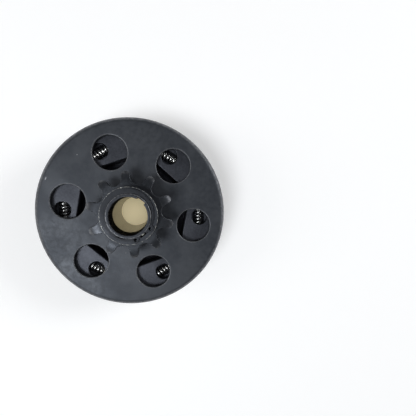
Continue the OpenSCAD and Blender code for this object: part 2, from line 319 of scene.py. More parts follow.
def about_z(degrees: float) -> Matrix:
    """A turn round the clutch's axis."""
    return Matrix.Rotation(math.radians(degrees), 4, "Z")


def shift(x: float = 0, y: float = 0, z: float = 0) -> Matrix:
    """A move in millimetres."""
    return Matrix.Translation((x * MM, y * MM, z * MM))


# Node trees


class Sketch:
    """Adds nodes and links to one node tree in short lines."""

    def __init__(self, tree: bpy.types.NodeTree) -> None:
        """Keeps the tree.

        Args:
            tree: The tree that is drawn.
        """
        self.tree = tree

    def add(self, kind: str, **settings: Any) -> bpy.types.Node:
        """Adds a node.

        Args:
            kind: The node's type.
            settings: Its own settings by name.

        Returns:
            The new node.
        """
        made = self.tree.nodes.new(kind)
        for key, value in settings.items():
            setattr(made, key, value)
        return made

    def link(self, source: bpy.types.NodeSocket, target: bpy.types.NodeSocket) -> None:
        """Joins two sockets."""
        self.tree.links.new(source, target)

    def feed(self, target: bpy.types.NodeSocket, value: Any) -> None:
        """Sets a socket's value, or links it when the value is a socket.

        Args:
            target: The socket that is set.
            value: A value or another socket.
        """
        if isinstance(value, bpy.types.NodeSocket):
            self.link(value, target)
        else:
            target.default_value = value

    def math(self, operation: str, *values: Any, clamp: bool = False) -> bpy.types.NodeSocket:
        """The result of a Math node.

        Args:
            operation: The node's operation.
            values: Numbers or sockets for its inputs.
            clamp: Whether the result is kept between 0 and 1.

        Returns:
            The result's socket.
        """
        made = self.add("ShaderNodeMath", operation=operation, use_clamp=clamp)
        for target, value in zip(made.inputs, values):
            self.feed(target, value)
        return made.outputs[0]

    def times(self, first: Any, second: Any) -> bpy.types.NodeSocket:
        """The product of two numbers."""
        return self.math("MULTIPLY", first, second)

    def ramp(
        self, value: Any, low: Any, high: Any, to_low: Any = 0.0, to_high: Any = 1.0
    ) -> bpy.types.NodeSocket:
        """A smooth step of a value from one range to another.

        Args:
            value: The number or socket that is mapped.
            low: Where the step starts.
            high: Where it ends.
            to_low: The result at the start.
            to_high: The result at the end.

        Returns:
            The result's socket.
        """
        made = self.add("ShaderNodeMapRange", interpolation_type="SMOOTHSTEP")
        names = ("Value", "From Min", "From Max", "To Min", "To Max")
        for name, item in zip(names, (value, low, high, to_low, to_high)):
            self.feed(made.inputs[name], item)
        return made.outputs["Result"]

    def hypot(self, first: Any, second: Any) -> bpy.types.NodeSocket:
        """The length of a flat vector of two numbers."""
        squares = (self.times(value, value) for value in (first, second))
        return self.math("SQRT", self.math("ADD", *squares))

    def noise(
        self, vector: bpy.types.NodeSocket, scale: Any, detail: float = 4, rough: float = 0.55
    ) -> bpy.types.NodeSocket:
        """The factor of a noise texture.

        Args:
            vector: The coordinates that it reads.
            scale: Its scale, a number or a socket.
            detail: Its detail.
            rough: Its roughness.

        Returns:
            The factor's socket.
        """
        made = self.add("ShaderNodeTexNoise")
        self.link(vector, made.inputs["Vector"])
        self.feed(made.inputs["Scale"], scale)
        made.inputs["Detail"].default_value = detail
        made.inputs["Roughness"].default_value = rough
        return made.outputs["Fac"]

    def mix(self, factor: Any, first: Any, second: Any, blend: str = "MIX") -> bpy.types.NodeSocket:
        """The result of mixing two colours.

        Args:
            factor: How much of the second colour shows.
            first: The first colour, a tuple or a socket.
            second: The second colour.
            blend: The way of mixing.

        Returns:
            The mixed colour's socket.
        """
        made = self.add("ShaderNodeMix", data_type="RGBA", blend_type=blend)
        for target, value in ((made.inputs[0], factor), (made.inputs[6], first), (made.inputs[7], second)):
            if isinstance(value, tuple) and len(value) == 3:
                value = (*value, 1.0)
            self.feed(target, value)
        return made.outputs[2]


@dataclass(frozen=True)
class Port:
    """One input or output of a node tree."""

    name: str
    kind: str = "NodeSocketFloat"
    value: Any = None
    out: bool = False


def new_tree(name: str, kind: str, ports: Sequence[Port]) -> tuple[Sketch, bpy.types.Node, bpy.types.Node]:
    """Starts a node group with named sockets.

    Args:
        name: The group's name.
        kind: GeometryNodeTree or ShaderNodeTree.
        ports: Its inputs and outputs in order.

    Returns:
        The sketch, the group's input node and its output node.
    """
    tree = bpy.data.node_groups.new(name, kind)
    for port in ports:
        socket = tree.interface.new_socket(
            name=port.name, in_out="OUTPUT" if port.out else "INPUT", socket_type=port.kind
        )
        if port.value is not None:
            socket.default_value = port.value
    sketch = Sketch(tree)
    return sketch, sketch.add("NodeGroupInput"), sketch.add("NodeGroupOutput")


def run_tree(
    name: str, start: bpy.types.Mesh, tree: bpy.types.NodeTree, values: dict[str, Any]
) -> bpy.types.Mesh:
    """Runs a geometry tree on a mesh and returns the result as a plain mesh.

    Args:
        name: Name of the new mesh.
        start: The mesh that the tree starts from.
        tree: The geometry node tree.
        values: The tree's inputs by their names.

    Returns:
        The new mesh.
    """
    holder = bpy.data.objects.new(name, start)
    bpy.context.scene.collection.objects.link(holder)
    modifier = holder.modifiers.new("build", "NODES")
    modifier.node_group = tree
    for item in tree.interface.items_tree:
        if item.item_type == "SOCKET" and item.in_out == "INPUT" and item.name in values:
            modifier[item.identifier] = values[item.name]
    mesh = evaluated(holder)
    holder.modifiers.remove(modifier)
    bpy.data.objects.remove(holder)
    mesh.name = name
    return mesh


class ShapeTrees:
    """Builds each geometry node tree once and runs it."""

    def __init__(self) -> None:
        """Starts with no trees."""
        self.made: dict[str, bpy.types.NodeTree] = {}

    def tree(self, name: str, build: Callable[[], bpy.types.NodeTree]) -> bpy.types.NodeTree:
        """The tree of a name, built the first time.

        Args:
            name: The tree's name.
            build: Builds it.

        Returns:
            The tree.
        """
        if name not in self.made:
            self.made[name] = build()
        return self.made[name]

    @staticmethod
    def close(
        sketch: Sketch, geometry: bpy.types.NodeSocket, given: bpy.types.Node, result: bpy.types.Node
    ) -> None:
        """Ends a tree: instances made real, then the material set.

        Args:
            sketch: The tree's sketch.
            geometry: The geometry so far.
            given: The tree's input node.
            result: The tree's output node.
        """
        real = sketch.add("GeometryNodeRealizeInstances")
        coat = sketch.add("GeometryNodeSetMaterial")
        sketch.link(geometry, real.inputs["Geometry"])
        sketch.link(real.outputs["Geometry"], coat.inputs["Geometry"])
        sketch.link(given.outputs["Material"], coat.inputs["Material"])
        sketch.link(coat.outputs["Geometry"], result.inputs["Geometry"])

    @staticmethod
    def copies_round(
        sketch: Sketch, given: bpy.types.Node, shape: bpy.types.NodeSocket, radius: Any
    ) -> bpy.types.NodeSocket:
        """Evenly spaced copies of a shape round the axis, each turned to face outwards.

        Args:
            sketch: The tree's sketch.
            given: The tree's input node, which gives the count and the start angle.
            shape: The geometry that is copied.
            radius: Radius of the circle that the copies lie on.

        Returns:
            The socket of the copies, made real.
        """
        spots = sketch.add("GeometryNodePoints")
        sketch.link(given.outputs["Count"], spots.inputs["Count"])
        index = sketch.add("GeometryNodeInputIndex").outputs[0]
        turn = sketch.math("DIVIDE", TAU, given.outputs["Count"])
        angle = sketch.math("ADD", sketch.times(index, turn), given.outputs["Start Angle"])
        place = sketch.add("ShaderNodeCombineXYZ")
        sketch.link(sketch.times(sketch.math("COSINE", angle), radius), place.inputs["X"])
        sketch.link(sketch.times(sketch.math("SINE", angle), radius), place.inputs["Y"])
        sketch.link(place.outputs[0], spots.inputs["Position"])
        facing = sketch.add("ShaderNodeCombineXYZ")
        sketch.link(angle, facing.inputs["Z"])
        turned = sketch.add("FunctionNodeEulerToRotation")
        sketch.link(facing.outputs[0], turned.inputs[0])
        copies = sketch.add("GeometryNodeInstanceOnPoints")
        sketch.link(spots.outputs[0], copies.inputs["Points"])
        sketch.link(shape, copies.inputs["Instance"])
        sketch.link(turned.outputs[0], copies.inputs["Rotation"])
        real = sketch.add("GeometryNodeRealizeInstances")
        sketch.link(copies.outputs[0], real.inputs["Geometry"])
        return real.outputs[0]

    def _ring_cut(self, cut: Cut) -> bpy.types.NodeTree:
        """Copies of a tool mesh round the axis, taken from or added to the mesh.

        Args:
            cut: Whether the copies are taken away or added.

        Returns:
            The geometry tree.
        """
        sketch, given, result = new_tree(
            f"ring_{cut.name.lower()}",
            "GeometryNodeTree",
            (
                Port("Geometry", "NodeSocketGeometry"),
                Port("Tool", "NodeSocketObject"),
                Port("Count", "NodeSocketInt", 6),
                Port("Circle Radius", "NodeSocketFloat", 0.01),
                Port("Start Angle", "NodeSocketFloat", 0.0),
                Port("Material", "NodeSocketMaterial"),
                Port("Geometry", "NodeSocketGeometry", out=True),
            ),
        )
        tool = sketch.add("GeometryNodeObjectInfo")
        sketch.link(given.outputs["Tool"], tool.inputs["Object"])
        copies = self.copies_round(sketch, given, tool.outputs["Geometry"], given.outputs["Circle Radius"])
        boolean = sketch.add("GeometryNodeMeshBoolean", operation=cut.value, solver="MANIFOLD")
        base = "Mesh 1" if cut is Cut.AWAY else "Mesh 2"
        sketch.link(given.outputs["Geometry"], boolean.inputs[base])
        sketch.link(copies, boolean.inputs["Mesh 2"])
        self.close(sketch, boolean.outputs["Mesh"], given, result)
        return sketch.tree

    def ring(
        self,
        name: str,
        base: bpy.types.Mesh,
        tool: bpy.types.Mesh,
        material: bpy.types.Material,
        count: int = 1,
        radius: float = 0.0,
        start: float = 0.0,
        cut: Cut = Cut.AWAY,
    ) -> bpy.types.Mesh:
        """Cuts or adds copies of a tool mesh round the axis.

        Args:
            name: Name of the new mesh.
            base: The mesh that is cut.
            tool: The tool mesh, facing along +X.
            material: The material of the result.
            count: How many copies.
            radius: Radius of the circle that they lie on, in millimetres.
            start: Direction of the first copy, in degrees.
            cut: Whether the copies are taken away or added.

        Returns:
            The new mesh.
        """
        tree = self.tree(f"ring_{cut.name}", lambda: self._ring_cut(cut))
        holder = bpy.data.objects.new(f"{name}_tool", tool)
        bpy.context.scene.collection.objects.link(holder)
        values = {
            "Tool": holder,
            "Count": count,
            "Circle Radius": radius * MM,
            "Start Angle": math.radians(start),
            "Material": material,
        }
        mesh = run_tree(name, base, tree, values)
        bpy.data.objects.remove(holder)
        return mesh

    def _sector_ring(self) -> bpy.types.NodeTree:
        """Copies of one open sector round the axis, welded into a closed ring.

        Returns:
            The geometry tree.
        """
        sketch, given, result = new_tree(
            "sector_ring",
            "GeometryNodeTree",
            (
                Port("Geometry", "NodeSocketGeometry"),
                Port("Count", "NodeSocketInt", 10),
                Port("Start Angle", "NodeSocketFloat", 0.0),
                Port("Weld", "NodeSocketFloat", 1e-6),
                Port("Material", "NodeSocketMaterial"),
                Port("Geometry", "NodeSocketGeometry", out=True),
            ),
        )
        copies = self.copies_round(sketch, given, given.outputs["Geometry"], 0.0)
        weld = sketch.add("GeometryNodeMergeByDistance")
        sketch.link(copies, weld.inputs["Geometry"])
        sketch.link(given.outputs["Weld"], weld.inputs["Distance"])
        self.close(sketch, weld.outputs[0], given, result)
        return sketch.tree

    def sectors(
        self, name: str, sector: bpy.types.Mesh, material: bpy.types.Material, count: int, start: float
    ) -> bpy.types.Mesh:
        """Repeats one open sector round the axis.

        Args:
            name: Name of the new mesh.
            sector: The sector, about the +X direction.
            material: The material of the result.
            count: How many sectors make the whole ring.
            start: Direction of the first one, in degrees.

        Returns:
            The closed ring.
        """
        tree = self.tree("sector_ring", self._sector_ring)
        values = {"Count": count, "Start Angle": math.radians(start), "Material": material}
        return run_tree(name, sector, tree, values)

    def _coil(self) -> bpy.types.NodeTree:
        """A helical spring along X with a side hook at each end.

        Returns:
            The geometry tree.
        """
        sketch, given, result = new_tree(
            "coil_spring",
            "GeometryNodeTree",
            (
                Port("Geometry", "NodeSocketGeometry"),
                Port("Coils", "NodeSocketFloat", 12.0),
                Port("Coil Radius", "NodeSocketFloat", 0.002),
                Port("Half Length", "NodeSocketFloat", 0.01),
                Port("Pin Reach", "NodeSocketFloat", 0.015),
                Port("Wire Radius", "NodeSocketFloat", 0.0005),
                Port("Steps", "NodeSocketInt", 300),
                Port("Hook Steps", "NodeSocketInt", 24),
                Port("Material", "NodeSocketMaterial"),
                Port("Geometry", "NodeSocketGeometry", out=True),
            ),
        )
        radius = given.outputs["Coil Radius"]
        reach = given.outputs["Pin Reach"]
        half = given.outputs["Half Length"]

        def along(steps: bpy.types.NodeSocket) -> tuple[bpy.types.Node, bpy.types.NodeSocket]:
            """Draws a line of points.

            Args:
                steps: How many points it has.

            Returns:
                The line's node, and the factor along it.
            """
            line = sketch.add("GeometryNodeCurvePrimitiveLine")
            cut = sketch.add("GeometryNodeResampleCurve")
            sketch.link(line.outputs[0], cut.inputs["Curve"])
            sketch.link(steps, cut.inputs["Count"])
            return cut, sketch.add("GeometryNodeSplineParameter").outputs["Factor"]

        def placed(points: bpy.types.Node, x: Any, y: Any, z: Any) -> bpy.types.Node:
            """Sets a line's points by a formula.

            Args:
                points: The line's node.
                x: The points' X.
                y: Their Y.
                z: Their Z.

            Returns:
                The node that places them.
            """
            spot = sketch.add("ShaderNodeCombineXYZ")
            for target, value in zip(spot.inputs, (x, y, z)):
                sketch.feed(target, value)
            moved_points = sketch.add("GeometryNodeSetPosition")
            sketch.link(points.outputs[0], moved_points.inputs["Geometry"])
            sketch.link(spot.outputs[0], moved_points.inputs["Position"])
            return moved_points

        points, factor = along(given.outputs["Steps"])
        angle = sketch.times(sketch.times(factor, TAU), given.outputs["Coils"])
        x = sketch.times(sketch.math("SUBTRACT", sketch.times(factor, 2.0), 1.0), half)
        y = sketch.times(sketch.math("COSINE", angle), radius)
        z = sketch.times(sketch.math("SINE", angle), radius)
        parts = [placed(points, x, y, z)]
        for side in (-1.0, 1.0):
            points, factor = along(given.outputs["Hook Steps"])
            straight = sketch.math("MINIMUM", sketch.times(factor, 4.0), 1.0)
            past = sketch.math("DIVIDE", sketch.math("SUBTRACT", factor, 0.25), 0.75)
            bend = sketch.math("MAXIMUM", past, 0.0)
            angle = sketch.times(bend, math.radians(205))
            beyond = sketch.math("SUBTRACT", reach, half)
            run = sketch.math("ADD", half, sketch.times(straight, beyond))
            out = sketch.math("ADD", run, sketch.times(sketch.math("SINE", angle), radius))
            x = sketch.times(out, side)
            y = sketch.times(sketch.math("COSINE", angle), radius)
            parts.append(placed(points, x, y, 0.0))
        whole = sketch.add("GeometryNodeJoinGeometry")
        for part in parts:
            sketch.link(part.outputs[0], whole.inputs[0])
        section = sketch.add("GeometryNodeCurvePrimitiveCircle")
        section.inputs["Resolution"].default_value = 12
        sketch.link(given.outputs["Wire Radius"], section.inputs["Radius"])
        wire = sketch.add("GeometryNodeCurveToMesh")
        wire.inputs["Fill Caps"].default_value = True
        sketch.link(whole.outputs[0], wire.inputs["Curve"])
        sketch.link(section.outputs[0], wire.inputs["Profile Curve"])
        self.close(sketch, wire.outputs[0], given, result)
        return sketch.tree

    def coil(self, name: str, material: bpy.types.Material, sizes: dict[str, float]) -> bpy.types.Mesh:
        """Winds one spring about the X axis.

        Args:
            name: Name of the new mesh.
            material: The wire's material.
            sizes: The tree's sizes by name, in metres and counts.

        Returns:
            The spring's mesh.
        """
        tree = self.tree("coil_spring", self._coil)
        return run_tree(name, bpy.data.meshes.new(name), tree, {**sizes, "Material": material})


TREES = ShapeTrees()


# Finishes


class FinishParts:
    """Shader node groups that several finishes share, each built once."""

    def __init__(self) -> None:
        """Starts with no groups."""
        self.made: dict[str, bpy.types.NodeTree] = {}

    def get(self, name: str) -> bpy.types.NodeTree:
        """The group of a name, built the first time.

        Args:
            name: The group's name, that of its method without the underscore.

        Returns:
            The group.
        """
        if name not in self.made:
            self.made[name] = getattr(self, f"_{name}")()
        return self.made[name]

    def _mottle(self) -> bpy.types.NodeTree:
        """Soft clouds over finer stains, for oxide and oil.

        Returns:
            The shader group.
        """
        sketch, given, result = new_tree(
            "mottle",
            "ShaderNodeTree",
            (
                Port("Vector", "NodeSocketVector"),
                Port("Cloud Scale", value=60.0),
                Port("Stain Scale", value=420.0),
                Port("Cloud", out=True),
                Port("Stain", out=True),
            ),
        )
        cloud = sketch.noise(given.outputs["Vector"], given.outputs["Cloud Scale"], 3, 0.5)
        stain = sketch.noise(given.outputs["Vector"], given.outputs["Stain Scale"], 6, 0.62)
        sketch.link(sketch.ramp(cloud, 0.32, 0.68), result.inputs["Cloud"])
        sketch.link(sketch.ramp(stain, 0.38, 0.66), result.inputs["Stain"])
        return sketch.tree

    def _pores(self) -> bpy.types.NodeTree:
        """Fine grain and scattered pores, as on pressed and sintered metal.

        Returns:
            The shader group.
        """
        sketch, given, result = new_tree(
            "pores",
            "ShaderNodeTree",
            (
                Port("Vector", "NodeSocketVector"),
                Port("Grain Scale", value=5200.0),
                Port("Pore Scale", value=2600.0),
                Port("Grain", out=True),
                Port("Pore", out=True),
                Port("Height", out=True),
            ),
        )
        grain = sketch.noise(given.outputs["Vector"], given.outputs["Grain Scale"], 3, 0.6)
        cells = sketch.add("ShaderNodeTexVoronoi", feature="F1")
        sketch.link(given.outputs["Vector"], cells.inputs["Vector"])
        sketch.link(given.outputs["Pore Scale"], cells.inputs["Scale"])
        pore = sketch.ramp(cells.outputs["Distance"], 0.10, 0.24, 1.0, 0.0)
        sketch.link(grain, result.inputs["Grain"])
        sketch.link(pore, result.inputs["Pore"])
        lifted = sketch.times(grain, 0.5)
        sunk = sketch.times(pore, 0.6)
        sketch.link(sketch.math("SUBTRACT", lifted, sunk), result.inputs["Height"])
        return sketch.tree

    def _circle_edge(self) -> bpy.types.NodeTree:
        """Wear, or a painted highlight, along a round edge of the given radius and height, broken up by
        noise.

        Returns:
            The shader group.
        """
        sketch, given, result = new_tree(
            "circle_edge",
            "ShaderNodeTree",
            (
                Port("Vector", "NodeSocketVector"),
                Port("Radius", value=0.05),
                Port("Height", value=0.0),
                Port("Width", value=0.001),
                Port("Break Up", value=0.5),
                Port("Wear", out=True),
            ),
        )
        parts = sketch.add("ShaderNodeSeparateXYZ")
        sketch.link(given.outputs["Vector"], parts.inputs[0])
        x, y, z = parts.outputs
        radial = sketch.hypot(x, y)
        across = sketch.math("SUBTRACT", radial, given.outputs["Radius"])
        up = sketch.math("SUBTRACT", z, given.outputs["Height"])
        away = sketch.hypot(across, up)
        near = sketch.ramp(away, 0.0, given.outputs["Width"], 1.0, 0.0)
        speckle = sketch.ramp(sketch.noise(given.outputs["Vector"], 700.0, 5, 0.65), 0.42, 0.62)
        gone = sketch.times(given.outputs["Break Up"], sketch.math("SUBTRACT", 1.0, speckle))
        ragged = sketch.math("SUBTRACT", 1.0, gone)
        sketch.link(sketch.math("MULTIPLY", near, ragged, clamp=True), result.inputs["Wear"])
        return sketch.tree

    def _folded(self) -> bpy.types.NodeTree:
        """Folds a point round the axis into the first of a ring's equal sectors.

        Returns:
            The shader group.
        """
        sketch, given, result = new_tree(
            "folded",
            "ShaderNodeTree",
            (
                Port("Vector", "NodeSocketVector"),
                Port("Sector", value=1.0),
                Port("Start", value=0.0),
                Port("Centre Radius", value=0.0),
                Port("Vector", "NodeSocketVector", out=True),
            ),
        )
        parts = sketch.add("ShaderNodeSeparateXYZ")
        sketch.link(given.outputs["Vector"], parts.inputs[0])
        x, y, z = parts.outputs
        radial = sketch.hypot(x, y)
        angle = sketch.math("SUBTRACT", sketch.math("ARCTAN2", y, x), given.outputs["Start"])
        sector = given.outputs["Sector"]
        turns = sketch.math("FLOOR", sketch.math("ADD", sketch.math("DIVIDE", angle, sector), 0.5))
        folded = sketch.math("SUBTRACT", angle, sketch.times(turns, sector))
        spot = sketch.add("ShaderNodeCombineXYZ")
        along = sketch.times(sketch.math("COSINE", folded), radial)
        sketch.link(sketch.math("SUBTRACT", along, given.outputs["Centre Radius"]), spot.inputs["X"])
        sketch.link(sketch.times(sketch.math("SINE", folded), radial), spot.inputs["Y"])
        sketch.link(z, spot.inputs["Z"])
        sketch.link(spot.outputs[0], result.inputs["Vector"])
        return sketch.tree

    def _spot(self) -> bpy.types.NodeTree:
        """One small ragged mark at a point, longer one way than the other.

        Returns:
            The shader group.
        """
        sketch, given, result = new_tree(
            "spot",
            "ShaderNodeTree",
            (
                Port("Vector", "NodeSocketVector"),
                Port("X"),
                Port("Y"),
                Port("Angle"),
                Port("Length", value=0.002),
                Port("Width", value=0.001),
                Port("Mark", out=True),
            ),
        )
        parts = sketch.add("ShaderNodeSeparateXYZ")
        sketch.link(given.outputs["Vector"], parts.inputs[0])
        x = sketch.math("SUBTRACT", parts.outputs[0], given.outputs["X"])
        y = sketch.math("SUBTRACT", parts.outputs[1], given.outputs["Y"])
        cosine = sketch.math("COSINE", given.outputs["Angle"])
        sine = sketch.math("SINE", given.outputs["Angle"])
        along = sketch.math("ADD", sketch.times(x, cosine), sketch.times(y, sine))
        across = sketch.math("SUBTRACT", sketch.times(y, cosine), sketch.times(x, sine))
        along = sketch.math("DIVIDE", along, given.outputs["Length"])
        across = sketch.math("DIVIDE", across, given.outputs["Width"])
        away = sketch.hypot(along, across)
        wobble = sketch.times(sketch.noise(given.outputs["Vector"], 2400.0, 3, 0.6), 0.8)
        inside = sketch.ramp(sketch.math("ADD", away, wobble), 0.75, 1.15, 1.0, 0.0)
        sketch.link(inside, result.inputs["Mark"])
        return sketch.tree

    def _bare_bore(self) -> bpy.types.NodeTree:
        """Where a bore is bare metal and where it is painted near-black above, with fine turned rings.

        Returns:
            The shader group.
        """
        sketch, given, result = new_tree(
            "bare_bore",
            "ShaderNodeTree",
            (
                Port("Vector", "NodeSocketVector"),
                Port("Radius", value=0.01),
                Port("Top", value=0.04),
                Port("Bare", out=True),
                Port("Black", out=True),
                Port("Rings", out=True),
            ),
        )
        parts = sketch.add("ShaderNodeSeparateXYZ")
        sketch.link(given.outputs["Vector"], parts.inputs[0])
        x, y, z = parts.outputs
        radial = sketch.hypot(x, y)
        inside = sketch.math("LESS_THAN", radial, given.outputs["Radius"])
        low = sketch.math("SUBTRACT", given.outputs["Top"], 0.0008)
        deep = sketch.ramp(z, low, given.outputs["Top"], 1.0, 0.0)
        sketch.link(sketch.times(inside, deep), result.inputs["Bare"])
        shallow = sketch.math("SUBTRACT", 1.0, deep)
        sketch.link(sketch.times(inside, shallow), result.inputs["Black"])
        flat = sketch.add("ShaderNodeCombineXYZ")
        sketch.link(z, flat.inputs["Z"])
        rings = sketch.ramp(sketch.noise(flat.outputs[0], 2600.0, 3, 0.7), 0.38, 0.62)
        sketch.link(rings, result.inputs["Rings"])
        return sketch.tree

    def _scuffs(self) -> bpy.types.NodeTree:
        """Short fine scratches and a few bright specks.

        Returns:
            The shader group.
        """
        sketch, given, result = new_tree(
            "scuffs",
            "ShaderNodeTree",
            (
                Port("Vector", "NodeSocketVector"),
                Port("Scratch Scale", value=160.0),
                Port("Speck Scale", value=260.0),
                Port("Scratch", out=True),
                Port("Speck", out=True),
            ),
        )
        stretch = sketch.add("ShaderNodeMapping")
        stretch.inputs["Rotation"].default_value = (0.0, 0.0, 0.7)
        stretch.inputs["Scale"].default_value = (1.0, 14.0, 1.0)
        sketch.link(given.outputs["Vector"], stretch.inputs["Vector"])
        lines = sketch.noise(stretch.outputs[0], given.outputs["Scratch Scale"], 4, 0.7)
        where = sketch.noise(given.outputs["Vector"], 90.0, 2, 0.5)
        scratch = sketch.times(sketch.ramp(lines, 0.62, 0.72), sketch.ramp(where, 0.5, 0.66))
        cells = sketch.add("ShaderNodeTexVoronoi", feature="F1")
        sketch.link(given.outputs["Vector"], cells.inputs["Vector"])
        sketch.link(given.outputs["Speck Scale"], cells.inputs["Scale"])
        rare = sketch.add("ShaderNodeSeparateColor")
        sketch.link(cells.outputs["Color"], rare.inputs[0])
        chosen = sketch.ramp(rare.outputs[0], 0.90, 0.94)
        speck = sketch.times(sketch.ramp(cells.outputs["Distance"], 0.03, 0.09, 1.0, 0.0), chosen)
        sketch.link(scratch, result.inputs["Scratch"])
        sketch.link(speck, result.inputs["Speck"])
        return sketch.tree


PARTS = FinishParts()


class Paint:
    """One material under construction: its nodes, Object coordinates and shader."""

    def __init__(self, name: str, colour: Colour, roughness: float, metallic: float) -> None:
        """Starts a material.

        Args:
            name: The material's name.
            colour: Its base colour, linear.
            roughness: The shader's roughness.
            metallic: The shader's metallic value.
        """
        self.material = bpy.data.materials.new(name)
        self.material.use_nodes = True
        self.material.diffuse_color = (*colour, 1.0)
        self.sketch = Sketch(self.material.node_tree)
        self.shader = self.material.node_tree.nodes["Principled BSDF"]
        self.shader.inputs["Base Color"].default_value = (*colour, 1.0)
        self.shader.inputs["Roughness"].default_value = roughness
        self.shader.inputs["Metallic"].default_value = metallic
        self.place = self.sketch.add("ShaderNodeTexCoord").outputs["Object"]

    def part(
        self, name: str, vector: Optional[bpy.types.NodeSocket] = None, **values: float
    ) -> bpy.types.Node:
        """Places a shared group.

        Args:
            name: The group's name.
            vector: The coordinates that it reads; Object coordinates if left out.
            values: Its inputs, with underscores for spaces.

        Returns:
            The group's node.
        """
        made = self.sketch.add("ShaderNodeGroup", node_tree=PARTS.get(name))
        self.sketch.link(vector or self.place, made.inputs["Vector"])
        for key, value in values.items():
            made.inputs[key.replace("_", " ")].default_value = value
        return made

    def bump(self, height: bpy.types.NodeSocket, strength: float, distance: float) -> None:
        """Adds a bump to the shader's normal.

        Args:
            height: The height's socket.
            strength: The bump's strength.
            distance: How high a height of 1 stands, in metres.
        """
        made = self.sketch.add("ShaderNodeBump")
        made.inputs["Strength"].default_value = strength
        made.inputs["Distance"].default_value = distance
        self.sketch.link(height, made.inputs["Height"])
        self.sketch.link(made.outputs["Normal"], self.shader.inputs["Normal"])

    def colour(self, socket: bpy.types.NodeSocket) -> None:
        """Feeds the base colour."""
        self.sketch.link(socket, self.shader.inputs["Base Color"])

    def rough(self, socket: bpy.types.NodeSocket) -> None:
        """Feeds the roughness."""
        self.sketch.link(socket, self.shader.inputs["Roughness"])


@dataclass(frozen=True)
class EdgeWearAndHighlight:
    """A worn round edge, or a painted highlight along one: its radius and height in millimetres, how wide and
    how strong.

    Where a ring of equal edges is worn, sectors is their number, centre_radius the radius of the
    circle that they lie on and start the direction of the first. broken is the share of the wear
    that noise takes away.
    """

    radius: float
    height: float
    width: float
    strength: float
    centre_radius: float = 0.0
    sectors: int = 1
    start: float = 0.0
    broken: float = 0.5


@dataclass(frozen=True)
class Mark:
    """One scuff or painted highlight on a flat face: its place, direction and size, in millimetres and
    degrees.
    """

    x: float
    y: float
    angle: float
    length: float
    width: float
    strength: float


@dataclass(frozen=True)
class BareBore:
    """A bore left bare below some height and painted near-black and matt above it, in millimetres."""

    radius: float
    top: float
    colour: Colour = (0.34, 0.325, 0.28)
    front: Colour = (0.004, 0.004, 0.005)
    groove_tone: float = 0.6
    roughness: float = 0.34
    front_rough: float = 0.5
    margin: float = 0.2


